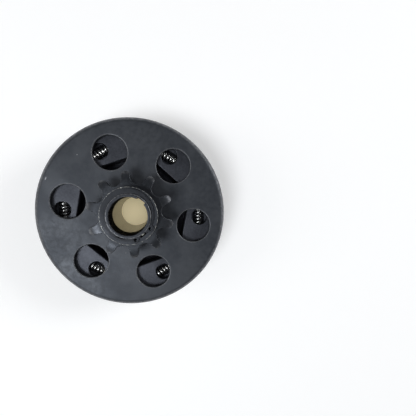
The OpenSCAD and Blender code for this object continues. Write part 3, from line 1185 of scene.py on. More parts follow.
@dataclass(frozen=True)
class OxideSteel:
    """Steel with a black oxide or phosphate skin, oily in places, worn grey at its edges, with painted
    highlights on some edges and marks.
    """

    name: str
    dark: Colour = (0.042, 0.047, 0.056)
    light: Colour = (0.084, 0.090, 0.101)
    # Light colour of worn edges and marks; on some parts it also paints highlights.
    worn: Colour = (0.32, 0.325, 0.34)
    roughness: float = 0.44
    metallic: float = 0.7
    cloud_scale: float = 55.0
    stain_scale: float = 430.0
    cloud_range: tuple[float, float] = (0.14, 0.62)
    stain_share: float = 0.28
    scratch_share: float = 0.12
    speck: float = 0.5
    stain_rough: float = 0.10
    cloud_gloss: float = 0.05
    grain_rough: float = 0.06
    bump: float = 0.20
    bump_height: float = 0.00003
    wear: tuple[EdgeWearAndHighlight, ...] = ()
    marks: tuple[Mark, ...] = ()
    bore: Optional[BareBore] = None

    def build(self) -> bpy.types.Material:
        """Makes the material.

        Returns:
            The material.
        """
        paint = Paint(self.name, self.dark, self.roughness, self.metallic)
        sketch = paint.sketch
        mottle = paint.part("mottle", Cloud_Scale=self.cloud_scale, Stain_Scale=self.stain_scale)
        scuffs = paint.part("scuffs")
        pores = paint.part("pores", Grain_Scale=3400.0, Pore_Scale=1500.0)
        clouds = sketch.ramp(mottle.outputs["Cloud"], 0.0, 1.0, *self.cloud_range)
        skin = sketch.mix(clouds, self.dark, self.light)
        stains = sketch.times(mottle.outputs["Stain"], self.stain_share)
        skin = sketch.mix(stains, skin, self.light)
        worn = sketch.times(scuffs.outputs["Scratch"], self.scratch_share)
        for edge in self.wear:
            vector = paint.place
            if edge.sectors > 1:
                fold = paint.part(
                    "folded",
                    Sector=TAU / edge.sectors,
                    Start=math.radians(edge.start),
                    Centre_Radius=edge.centre_radius * MM,
                )
                vector = fold.outputs[0]
            rim = paint.part(
                "circle_edge",
                vector,
                Radius=edge.radius * MM,
                Height=edge.height * MM,
                Width=edge.width * MM,
                Break_Up=edge.broken,
            )
            worn = sketch.math("MAXIMUM", worn, sketch.times(rim.outputs["Wear"], edge.strength))
        specks = sketch.times(scuffs.outputs["Speck"], self.speck)
        shown = sketch.math("MAXIMUM", worn, specks, clamp=True)
        for mark in self.marks:
            spot = paint.part(
                "spot",
                X=mark.x * MM,
                Y=mark.y * MM,
                Angle=math.radians(mark.angle),
                Length=mark.length * MM,
                Width=mark.width * MM,
            )
            scuffed = sketch.times(spot.outputs["Mark"], mark.strength)
            shown = sketch.math("MAXIMUM", shown, scuffed, clamp=True)
        stained = sketch.times(mottle.outputs["Stain"], self.stain_rough)
        oiled = sketch.times(mottle.outputs["Cloud"], self.cloud_gloss)
        grainy = sketch.times(pores.outputs["Grain"], self.grain_rough)
        rough = sketch.math("ADD", self.roughness, stained)
        rough = sketch.math("SUBTRACT", rough, oiled)
        rough = sketch.math("ADD", rough, grainy)
        # Inside the bore's radius and above its top, the skin is painted near-black and matt; on the front
        # washer this is painted shade.
        if self.bore:
            reach = self.bore.radius + self.bore.margin
            bare = paint.part("bare_bore", Radius=reach * MM, Top=self.bore.top * MM)
            groove = tuple(self.bore.groove_tone * c for c in self.bore.colour)
            turned = sketch.mix(bare.outputs["Rings"], groove, self.bore.colour)
            skin = sketch.mix(bare.outputs["Black"], skin, self.bore.front)
            skin = sketch.mix(bare.outputs["Bare"], skin, turned)
            matt = sketch.times(bare.outputs["Black"], self.bore.front_rough)
            rough = sketch.math("ADD", rough, matt, clamp=True)
            rough = sketch.ramp(bare.outputs["Bare"], 0.0, 1.0, rough, self.bore.roughness)
            either = sketch.math("ADD", bare.outputs["Bare"], bare.outputs["Black"], clamp=True)
            sketch.link(sketch.ramp(either, 0.0, 1.0, self.metallic, 1.0), paint.shader.inputs["Metallic"])
        paint.colour(sketch.mix(shown, skin, self.worn))
        paint.rough(rough)
        paint.bump(pores.outputs["Height"], self.bump, self.bump_height)
        return paint.material


@dataclass(frozen=True)
class Sintered:
    """Pressed and sintered metal: fine matt grain with open pores and a soft sheen."""

    name: str
    dark: Colour = (0.043, 0.046, 0.056)
    light: Colour = (0.084, 0.089, 0.105)
    pore: Colour = (0.02, 0.02, 0.023)
    roughness: float = 0.37
    metallic: float = 0.72
    cloud_share: float = 0.5
    stain_share: float = 0.35
    pore_share: float = 0.55
    grain_rough: float = 0.14

    def build(self) -> bpy.types.Material:
        """Makes the material.

        Returns:
            The material.
        """
        paint = Paint(self.name, self.dark, self.roughness, self.metallic)
        sketch = paint.sketch
        mottle = paint.part("mottle", Cloud_Scale=110.0, Stain_Scale=900.0)
        pores = paint.part("pores")
        clouds = sketch.times(mottle.outputs["Cloud"], self.cloud_share)
        stains = sketch.times(mottle.outputs["Stain"], self.stain_share)
        skin = sketch.mix(sketch.math("ADD", clouds, stains), self.dark, self.light)
        sunk = sketch.times(pores.outputs["Pore"], self.pore_share)
        paint.colour(sketch.mix(sunk, skin, self.pore))
        grainy = sketch.times(pores.outputs["Grain"], self.grain_rough)
        paint.rough(sketch.math("ADD", self.roughness, grainy))
        paint.bump(pores.outputs["Height"], strength=0.35, distance=0.00005)
        return paint.material


@dataclass(frozen=True)
class BrightWire:
    """Drawn wire and ground pins: bright steel with faint die lines and oil."""

    name: str
    bright: Colour = (0.80, 0.80, 0.78)
    dull: Colour = (0.42, 0.42, 0.425)
    roughness: float = 0.20
    cloud_share: float = 0.4
    stain_rough: float = 0.08

    def build(self) -> bpy.types.Material:
        """Makes the material.

        Returns:
            The material.
        """
        paint = Paint(self.name, self.bright, self.roughness, 1.0)
        sketch = paint.sketch
        mottle = paint.part("mottle", Cloud_Scale=600.0, Stain_Scale=2600.0)
        clouds = sketch.times(mottle.outputs["Cloud"], self.cloud_share)
        stains = sketch.times(mottle.outputs["Stain"], self.stain_rough)
        paint.colour(sketch.mix(clouds, self.bright, self.dull))
        paint.rough(sketch.math("ADD", self.roughness, stains))
        return paint.material


@dataclass(frozen=True)
class OiledBronze:
    """Porous bronze soaked in oil."""

    name: str
    light: Colour = (0.42, 0.27, 0.11)
    dark: Colour = (0.20, 0.12, 0.05)
    roughness: float = 0.35
    cloud_share: float = 0.6

    def build(self) -> bpy.types.Material:
        """Makes the material.

        Returns:
            The material.
        """
        paint = Paint(self.name, self.light, self.roughness, 1.0)
        sketch = paint.sketch
        mottle = paint.part("mottle", Cloud_Scale=150.0, Stain_Scale=1200.0)
        pores = paint.part("pores")
        clouds = sketch.times(mottle.outputs["Cloud"], self.cloud_share)
        shade = sketch.math("MAXIMUM", clouds, pores.outputs["Pore"])
        paint.colour(sketch.mix(shade, self.light, self.dark))
        paint.bump(pores.outputs["Height"], strength=0.25, distance=0.00004)
        return paint.material


# Pieces


def settle(mesh: bpy.types.Mesh, sharp: float = 32.0) -> bpy.types.Mesh:
    """Smooths a mesh's shading and weights its normals by face area.

    Args:
        mesh: The mesh.
        sharp: Edges steeper than this many degrees stay sharp.

    Returns:
        A plain mesh with its normals stored.
    """
    mesh.shade_smooth()
    mesh.set_sharp_from_angle(angle=math.radians(sharp))
    holder = bpy.data.objects.new(mesh.name, mesh)
    bpy.context.scene.collection.objects.link(holder)
    modifier = holder.modifiers.new("weights", "WEIGHTED_NORMAL")
    modifier.keep_sharp = True
    modifier.weight = 80
    result = evaluated(holder)
    holder.modifiers.remove(modifier)
    bpy.data.objects.remove(holder)
    return result


def hand_over(
    name: str,
    mesh: bpy.types.Mesh,
    material: bpy.types.Material,
    body: str,
    slot: Slot,
    *nodes: str,
) -> bpy.types.Object:
    """Makes a finished piece of a mesh: dressed, riding on its body and standing for its solids.

    Args:
        name: The piece's name.
        mesh: Its mesh, in place.
        material: Its material.
        body: The body that it rides on.
        slot: Not used.
        nodes: The solids that it stands for.

    Returns:
        The piece.
    """
    mesh.name = name
    mesh.materials.clear()
    mesh.materials.append(material)
    for polygon in mesh.polygons:
        polygon.material_index = 0
    piece = bpy.data.objects.new(name, mesh)
    bpy.context.scene.collection.objects.link(piece)
    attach(piece, body)
    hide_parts(*nodes)
    LOG.info("%s: %d faces on %s", name, len(mesh.polygons), body)
    return piece


def dress(node: str, material: bpy.types.Material) -> None:
    """Gives a solid that stays shown its material.

    Args:
        node: The solid's name.
        material: Its material.
    """
    solid = frame["nodes"][node]
    solid.data.materials.clear()
    solid.data.materials.append(material)
    LOG.info("%s: packed solid, dressed", node)


def heights(node: str) -> tuple[float, float]:
    """The lowest and highest point of a solid, in millimetres."""
    low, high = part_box(node)
    return low.z / MM, high.z / MM


@dataclass
class DrumCup:
    """The pressed drum: flat face with windows, rounded corner and side wall.

    circle_r is the radius of the circle that the windows lie on, and start the direction of the
    first one in degrees.
    """

    outer_r: float = 54.0
    inner_r: float = 51.4
    face_t: float = 2.6
    centre_r: float = 15.045
    corner_r: float = 3.0
    window_r: float = 9.65
    window_edge: float = 0.55
    circle_r: float = 36.0
    windows: int = 6
    start: float = -10.5

    def finish(self, face: float) -> bpy.types.Material:
        """The drum's black oxide, worn along the corner and the windows; the corner's worn band is also a
        painted highlight.

        Args:
            face: Height of the drum's face.

        Returns:
            The material.
        """
        return OxideSteel(
            "drum_black_oxide",
            wear=(
                # Worn band on the rounded corner, widened and lightened so that it also paints the highlight
                # the rim catches.
                EdgeWearAndHighlight(self.outer_r - 0.9, face - 0.9, width=1.9, strength=0.5, broken=0.7),
                EdgeWearAndHighlight(
                    self.window_r + 0.15,
                    face - 0.1,
                    width=0.7,
                    strength=0.42,
                    centre_radius=self.circle_r,
                    sectors=self.windows,
                    start=self.start,
                ),
            ),
            marks=(
                Mark(-46.7, 19.0, 70.0, 1.5, 0.55, 1.0),
                Mark(-29.6, 32.3, 20.0, 0.5, 0.4, 0.8),
                Mark(51.7, 4.9, 80.0, 0.6, 0.35, 0.9),
                Mark(51.9, -7.2, 95.0, 0.7, 0.35, 0.9),
                Mark(50.9, -16.2, 100.0, 0.9, 0.3, 0.7),
                Mark(49.4, 18.6, 60.0, 0.6, 0.3, 0.6),
                Mark(-38.9, 35.4, 45.0, 0.9, 0.3, 0.6),
                Mark(-12.4, 50.6, 170.0, 0.8, 0.3, 0.5),
            ),
        ).build()

    def build(self) -> None:
        """Makes the drum in place of its solid."""
        low, face = heights("drum_cup")
        under = face - self.face_t
        profile = rounded(
            [
                (self.centre_r, under, 0.2),
                (self.inner_r, under, 0.8),
                (self.inner_r, low, 0.45),
                (self.outer_r, low, 0.45),
                (self.outer_r, face, self.corner_r),
                (self.centre_r, face, 0.25),
            ],
            12,
        )
        material = self.finish(face)
        shell = lathe("drum_shell", profile, 288)
        e = self.window_edge
        r = self.window_r
        cutter = [(0.0, under - 2), (r + e, under - 2)]
        cutter += arc_points((r + e, under + e), e, -math.pi / 2, -math.pi, 6)
        cutter += arc_points((r + e, face - e), e, math.pi, math.pi / 2, 6)
        cutter += [(r + e, face + 2), (0.0, face + 2)]
        tool = lathe("window_tool", cutter, 96)
        mesh = TREES.ring("drum_cup_skin", shell, tool, material, self.windows, self.circle_r, self.start)
        hand_over("drum_shell", settle(mesh), material, Body.DRUM.value, Slot.BLACKENED, "drum_cup")


@dataclass
class ChainSprocket:
    """Ten teeth and the boss that carries them on the drum.

    side_w and side_h are the width and the height of the round flanks on the teeth's sides, and
    inner_wall is how much of the boss's wall the toothed ring leaves free round the bushing.
    """

    teeth: int = 10
    pitch: float = 12.7
    seat_r: float = 3.965
    tooth_top: float = 2.75
    tip_round: float = 2.4
    thickness: float = 7.2
    side_w: float = 1.5
    side_h: float = 6.3
    edge: float = 0.35
    start: float = -12.0
    bushing_r: float = 12.935
    boss_r: float = 14.435
    shoulder_r: float = 16.635
    shoulder_t: float = 2.4
    spigot_r: float = 15.035
    spigot_len: float = 0.9
    face_t: float = 2.6
    stand_off: float = 7.8
    eased_zone: float = 1.2
    inner_wall: float = 0.4
    steps: int = 14

    @property
    def pitch_r(self) -> float:
        """Radius of the pitch circle."""
        return self.pitch / (2 * math.sin(math.pi / self.teeth))

    @property
    def tip_r(self) -> float:
        """Radius at the tips."""
        return self.pitch_r + self.tooth_top

    def half_outline(self) -> list[Point2]:
        """Half a tooth about +X.

        Returns:
            Points from the middle of its tip to the bottom of the gap.
        """
        half = math.pi / self.teeth
        near = Vector((self.pitch_r * math.cos(half), self.pitch_r * math.sin(half)))
        far = Vector((near.x, -near.y))
        flank = self.pitch - self.seat_r
        tip = Vector((self.tip_r - self.tip_round, 0.0))
        apart = tip - far
        reach = (flank**2 - self.tip_round**2 + apart.length_squared) / (2 * apart.length)
        aside = math.sqrt(max(0.0, flank**2 - reach**2))
        along = apart.normalized()
        corner = far + along * reach + Vector((-along.y, along.x)) * -aside
        turn = math.atan2(corner.y - tip.y, corner.x - tip.x)
        points = arc_points((tip.x, tip.y), self.tip_round, 0.0, turn, 10)
        corner -= far
        lean = math.atan2(corner.y, corner.x)
        points += arc_points((far.x, far.y), flank, lean, math.pi / 2, self.steps)[1:]
        points += arc_points((near.x, near.y), self.seat_r, -math.pi / 2, -math.pi + half, self.steps)[1:]
        return points

    def outline(self) -> list[Point2]:
        """One whole tooth with its tip corners eased.

        Returns:
            Points from gap bottom to gap bottom.
        """
        half = self.half_outline()
        whole = [(x, -y) for x, y in reversed(half)] + half[1:]
        eased = [Vector(p) for p in whole]
        for _ in range(2):
            fresh = list(eased)
            for i in range(1, len(eased) - 1):
                if eased[i].length > self.tip_r - self.eased_zone:
                    fresh[i] = (eased[i - 1] + eased[i] * 2 + eased[i + 1]) / 4
            eased = fresh
        return [(v.x, v.y) for v in eased]

    def side_drop(self, radius: float) -> float:
        """How far the round flank on a tooth's side has fallen.

        Args:
            radius: Distance from the axis.

        Returns:
            The drop from the tooth's flat side, in millimetres.
        """
        past = max(0.0, radius - (self.tip_r - self.side_h))
        round_r = (self.side_h**2 + self.side_w**2) / (2 * self.side_w)
        return round_r - math.sqrt(round_r**2 - past**2)

    def sector(self, low: float) -> bpy.types.Mesh:
        """One open sector of the toothed ring.

        Args:
            low: Height of the teeth's under side.

        Returns:
            The sector about +X, without its two cut faces.
        """
        outline = [Vector(p) for p in self.outline()]
        count = len(outline)
        half = math.pi / self.teeth
        inner_r = self.bushing_r + self.inner_wall
        middle = low + self.thickness / 2
        normals: list[Vector] = []
        for i, spot in enumerate(outline):
            a = outline[max(0, i - 1)]
            b = outline[min(count - 1, i + 1)]
            along = (b - a).normalized()
            normal = Vector((along.y, -along.x))
            if i in (0, count - 1):
                normal = spot.normalized()
            normals.append(normal)
        rings = 16
        turns = 5

        def build(work: bmesh.types.BMesh) -> None:
            """Lays columns of points from the inner wall round the outline and back.

            Args:
                work: The bmesh that is filled.
            """
            columns: list[list[bmesh.types.BMVert]] = []
            for i, spot in enumerate(outline):
                angle = -half + 2 * half * i / (count - 1)
                inner = Vector((inner_r * math.cos(angle), inner_r * math.sin(angle)))
                inset = spot - normals[i] * self.edge
                upper: list[tuple[float, float, float]] = []
                for k in range(rings + 1):
                    p = inner.lerp(inset, k / rings)
                    upper.append((p.x, p.y, self.thickness / 2 - self.side_drop(p.length)))
                edge_top = upper[-1][2] - self.edge
                for k in range(1, turns + 1):
                    a = math.pi / 2 * k / turns
                    p = inset + normals[i] * (self.edge * math.sin(a))
                    upper.append((p.x, p.y, edge_top + self.edge * math.cos(a)))
                column = [(x, y, middle + z) for x, y, z in upper]
                column += [(x, y, middle - z) for x, y, z in reversed(upper)]
                columns.append([work.verts.new((x * MM, y * MM, z * MM)) for x, y, z in column])
            for a, b in zip(columns, columns[1:]):
                for k in range(len(a)):
                    n = (k + 1) % len(a)
                    work.faces.new((a[k], b[k], b[n], a[n]))

        work = bmesh.new()
        build(work)
        mesh = bpy.data.meshes.new("tooth_sector")
        work.to_mesh(mesh)
        work.free()
        return mesh

    def build(self) -> None:
        """Makes the sprocket in place of its solid."""
        low, high = heights("sprocket")
        face = low + self.spigot_len + self.face_t
        tooth_z = face + self.stand_off
        tip = self.tip_r + 0.3
        material = OxideSteel(
            "sprocket_black_oxide",
            dark=(0.034, 0.038, 0.045),
            light=(0.066, 0.071, 0.081),
            # Light colour of the worn tips, which also paints their highlights.
            worn=(0.42, 0.425, 0.44),
            roughness=0.33,
            metallic=0.8,
            wear=(
                # Worn tooth tips, lightened over a wide band so that they also paint the highlights on the
                # rounded flanks.
                EdgeWearAndHighlight(tip, tooth_z + self.thickness - 1.2, width=3.2, strength=0.34, broken=0.7),
                EdgeWearAndHighlight(tip, tooth_z + 1.2, width=2.6, strength=0.3),
            ),
        ).build()
        ring = TREES.sectors("toothed_ring", self.sector(tooth_z), material, self.teeth, self.start)
        ring = mesh_from("toothed_ring", lambda work: work.from_mesh(ring))
        boss = lathe(
            "sprocket_boss",
            rounded(
                [
                    (self.bushing_r, low, 0.1),
                    (self.spigot_r, low, 0.3),
                    (self.spigot_r, face, 0.0),
                    (self.shoulder_r, face, 0.0),
                    (self.shoulder_r, face + self.shoulder_t, 0.6),
                    (self.boss_r, face + self.shoulder_t, 0.5),
                    (self.boss_r, high, 0.4),
                    (self.bushing_r, high, 0.2),
                ],
                6,
            ),
            192,
        )
        mesh = TREES.ring("sprocket_skin", boss, ring, material, cut=Cut.TOGETHER)
        hand_over("chain_sprocket", settle(mesh, 38), material, Body.DRUM.value, Slot.BLACKENED, "sprocket")


@dataclass
class HubAndRings:
    """The keyed hub and sleeve, the washers, the two snap rings and the plate behind the shoes.

    black_front is how far into the bore its wall is painted near-black and matt, and the next field
    how far painted shade reaches on the front washer round the sleeve, under the snap ring. The bays
    are the two shallow reliefs in a snap ring's inner edge: their depth, their direction from the gap
    and half their width in degrees.
    """

    bore_r: float = 9.535
    sleeve_r: float = 11.285
    boss_r: float = 15.535
    shoulder_r: float = 18.035
    groove: float = 0.5
    ring_play: float = 0.1
    washer_play: float = 0.1
    key_w: float = 4.76
    key_depth: float = 0.85
    key_angle: float = 52.0
    ring_angle: float = -52.0
    back_land: float = 3.4
    back_groove: float = 1.4
    shoulder_t: float = 2.0
    washer_r: float = 14.7
    plate_r: float = 40.0
    black_front: float = 14.0
    shade_reach: float = 1.1
    bay: float = 0.95
    bay_angle: float = 62.0
    bay_half: float = 20.0
    gap_half: float = 8.0
    lug_angle: float = 22.0
    lug_seat: float = 0.95
    taper_share: float = 0.27

    def hub(self, material: bpy.types.Material) -> None:
        """Turns the hub and cuts its keyway.

        Args:
            material: The hub's material.
        """
        low, high = heights("hub_sleeve")
        _, shoulder_z = heights("driver_spider")
        neck_z = shoulder_z + self.shoulder_t
        boss_end, _ = heights("inner_washer")
        _, washer_top = heights("front_washer")
        ring_low, ring_high = heights("snap_ring")
        groove_top = washer_top + (ring_high - ring_low) + self.ring_play
        g = self.groove
        profile = rounded(
            [
                (self.bore_r, low, 0.35),
                (self.boss_r, low, 0.45),
                (self.boss_r, low + self.back_land, 0.08),
                (self.boss_r - g, low + self.back_land, 0.0),
                (self.boss_r - g, low + self.back_land + self.back_groove, 0.0),
                (self.boss_r, low + self.back_land + self.back_groove, 0.08),
                (self.boss_r, shoulder_z, 0.0),
                (self.shoulder_r, shoulder_z, 0.1),
                (self.shoulder_r, neck_z, 0.4),
                (self.boss_r, neck_z, 0.3),
                (self.boss_r, boss_end, 0.2),
                (self.sleeve_r, boss_end, 0.3),
                (self.sleeve_r, washer_top, 0.06),
                (self.sleeve_r - g, washer_top, 0.0),
                (self.sleeve_r - g, groove_top, 0.0),
                (self.sleeve_r, groove_top, 0.08),
                (self.sleeve_r, high, 0.38),
                (self.bore_r, high, 0.38),
            ],
            5,
        )
        turned = lathe("hub_turned", profile, 192)
        key = block(
            "key_tool",
            (0.0, -self.key_w / 2, low - 1),
            (self.bore_r + self.key_depth, self.key_w / 2, high + 1),
        )
        mesh = TREES.ring("hub_skin", turned, key, material, start=self.key_angle)
        hand_over("hub_and_sleeve", settle(mesh), material, Body.HUB.value, Slot.HUB, "hub_sleeve")

    def washer(
        self,
        name: str,
        node: str,
        inner: float,
        outer: float,
        edge: float,
        material: bpy.types.Material,
    ) -> None:
        """Turns a flat washer.

        Args:
            name: The piece's name.
            node: The solid that it stands for.
            inner: Its inner radius.
            outer: Its outer radius.
            edge: Radius of its edges.
            material: Its material.
        """
        low, high = heights(node)
        corners = [(r, z, edge) for r, z in ((inner, low), (outer, low), (outer, high), (inner, high))]
        mesh = lathe(name, rounded(corners, 4), 192)
        hand_over(name, settle(mesh), material, Body.HUB.value, Slot.HUB, node)

    def gap_highlight_mark(self) -> Mark:
        """The painted highlight on the washer in the snap ring's gap.

        Returns:
            The mark.
        """
        angle = math.radians(self.ring_angle)
        reach = self.sleeve_r + 0.42
        return Mark(reach * math.cos(angle), reach * math.sin(angle), self.ring_angle + 90.0, 1.7, 0.34, 1.0)

    def ring_outline(self, inner: float, grow: float, lug: float) -> list[Point2]:
        """The outline of a tapered snap ring with its gap towards +X.

        Args:
            inner: Radius of the groove that it sits in.
            grow: How far the ring stands out opposite its gap.
            lug: Radius of its lugs.

        Returns:
            The outline's points.
        """
        taper = grow * self.taper_share
        body = inner + grow - taper
        at = inner + lug * self.lug_seat
        gap = math.radians(self.gap_half)
        outer: list[Point2] = []
        steps = 220
        for k in range(steps + 1):
            a = gap + (TAU - 2 * gap) * k / steps
            reach = -taper * math.cos(a) + math.sqrt(body**2 - (taper * math.sin(a)) ** 2)
            for side in (-1, 1):
                off = a - side * math.radians(self.lug_angle)
                across = at * math.sin(off)
                if math.cos(off) > 0 and abs(across) < lug:
                    reach = max(reach, at * math.cos(off) + math.sqrt(lug**2 - across**2))
            outer.append((reach * math.cos(a), reach * math.sin(a)))
        back: list[Point2] = []
        for k in range(steps + 1):
            a = TAU - gap - (TAU - 2 * gap) * k / steps
            past = abs(math.degrees(math.remainder(a, TAU))) - self.bay_angle
            depth = max(0.0, 1.0 - (past / self.bay_half) ** 2)
            reach = inner + self.bay * math.sqrt(depth)
            back.append((reach * math.cos(a), reach * math.sin(a)))
        return outer + back

    def snap_ring(
        self,
        name: str,
        node: str,
        inner: float,
        grow: float,
        lug: float,
        hole: float,
        material: bpy.types.Material,
    ) -> None:
        """Stamps a tapered snap ring.

        Args:
            name: The piece's name.
            node: The solid that it stands for.
            inner: Radius of the groove that it sits in.
            grow: How far the ring stands out opposite its gap.
            lug: Radius of its lugs.
            hole: Radius of the holes in them.
            material: Its material.
        """
        low, high = heights(node)
        at = inner + lug * self.lug_seat
        holes = []
        for side in (-1, 1):
            a = side * math.radians(self.lug_angle)
            holes.append(arc_points((at * math.cos(a), at * math.sin(a)), hole, TAU, TAU / 24, 23))
        mesh = slab(name, self.ring_outline(inner, grow, lug), low, high, 0.12, holes, 2)
        mesh.transform(about_z(self.ring_angle))
        hand_over(name, settle(mesh), material, Body.HUB.value, Slot.BLACKENED, node)

    def build(self) -> None:
        """Makes the hub's pieces."""
        _, high = heights("hub_sleeve")
        _, groove_top = heights("snap_ring")
        hub_finish = OxideSteel(
            "hub_black_oxide",
            dark=(0.030, 0.033, 0.040),
            light=(0.056, 0.060, 0.070),
            roughness=0.34,
            wear=(
                # The sleeve's front edge: wear, lightened further as a painted highlight.
                EdgeWearAndHighlight(self.sleeve_r - 0.1, high - 0.1, width=0.5, strength=0.75, broken=0.8),
                EdgeWearAndHighlight(self.bore_r + 0.1, high - 0.1, width=0.4, strength=0.35, broken=0.9),
                # Painted highlight: the groove is painted bright where it shows in the snap ring's gap.
                EdgeWearAndHighlight(self.sleeve_r - self.groove, groove_top - 0.7, width=0.9, strength=1.0),
            ),
            bore=BareBore(self.bore_r, high - self.black_front),
            # Two thin painted highlights along the lower left of the sleeve's end face.
            marks=(Mark(-6.6, -8.3, 130.0, 0.5, 0.16, 0.7), Mark(-9.2, -4.6, 116.0, 0.6, 0.14, 0.6)),
        ).build()
        _, washer_top = heights("front_washer")
        washer_finish = OxideSteel(
            "washer_oxide",
            dark=(0.034, 0.038, 0.046),
            light=(0.062, 0.067, 0.077),
            # Near-white colour of the washer's worn edge and of its painted highlights.
            worn=(0.75, 0.75, 0.70),
            roughness=0.38,
            wear=(
                # Wear along the washer's outer edge, bright enough to also paint its thin highlight line.
                EdgeWearAndHighlight(self.washer_r - 0.1, washer_top - 0.1, width=0.32, strength=0.6, broken=0.95),
            ),
            marks=(
                # Painted highlight in the snap ring's gap.
                self.gap_highlight_mark(),
                # Worn specks and painted highlights along the washer's top and left edge.
                Mark(-3.7, 14.0, 165.0, 0.7, 0.3, 0.9),
                Mark(-10.6, 9.6, 132.0, 0.5, 0.18, 0.8),
                Mark(-13.4, -5.2, 112.0, 0.6, 0.2, 0.8),
            ),
            # Painted shade: the washer is painted near-black round the sleeve, under the snap ring's holes
            # and gap.
            bore=BareBore(self.sleeve_r + self.shade_reach, 0.0),
        ).build()
        ring_finish = OxideSteel(
            "ring_phosphate",
            dark=(0.022, 0.024, 0.029),
            light=(0.046, 0.050, 0.058),
            roughness=0.42,
        ).build()
        self.hub(hub_finish)
        self.washer(
            "thrust_washer_front",
            "front_washer",
            inner=self.sleeve_r + self.washer_play,
            outer=self.washer_r,
            edge=0.22,
            material=washer_finish,
        )
        self.washer(
            "shoe_plate",
            "back_plate",
            inner=self.boss_r + self.washer_play,
            outer=self.plate_r,
            edge=0.25,
            material=hub_finish,
        )
        self.snap_ring(
            "snap_ring_front",
            "snap_ring",
            inner=self.sleeve_r - self.groove,
            grow=3.4,
            lug=1.75,
            hole=0.8,
            material=ring_finish,
        )
        self.snap_ring(
            "snap_ring_back",
            "back_ring",
            inner=self.boss_r - self.groove,
            grow=3.6,
            lug=1.9,
            hole=0.8,
            material=ring_finish,
        )
        # Painted shade: the driver is coloured near-black because it sits deep in shade behind the shoes.
        driver_shade_finish = Sintered("driver_sintered", dark=(0.012, 0.012, 0.016), light=(0.028, 0.030, 0.038))
        dress("driver_spider", driver_shade_finish.build())
        dress("inner_washer", BrightWire("washer_ground", roughness=0.3).build())
        dress("sprocket_bushing", OiledBronze("bushing_bronze").build())


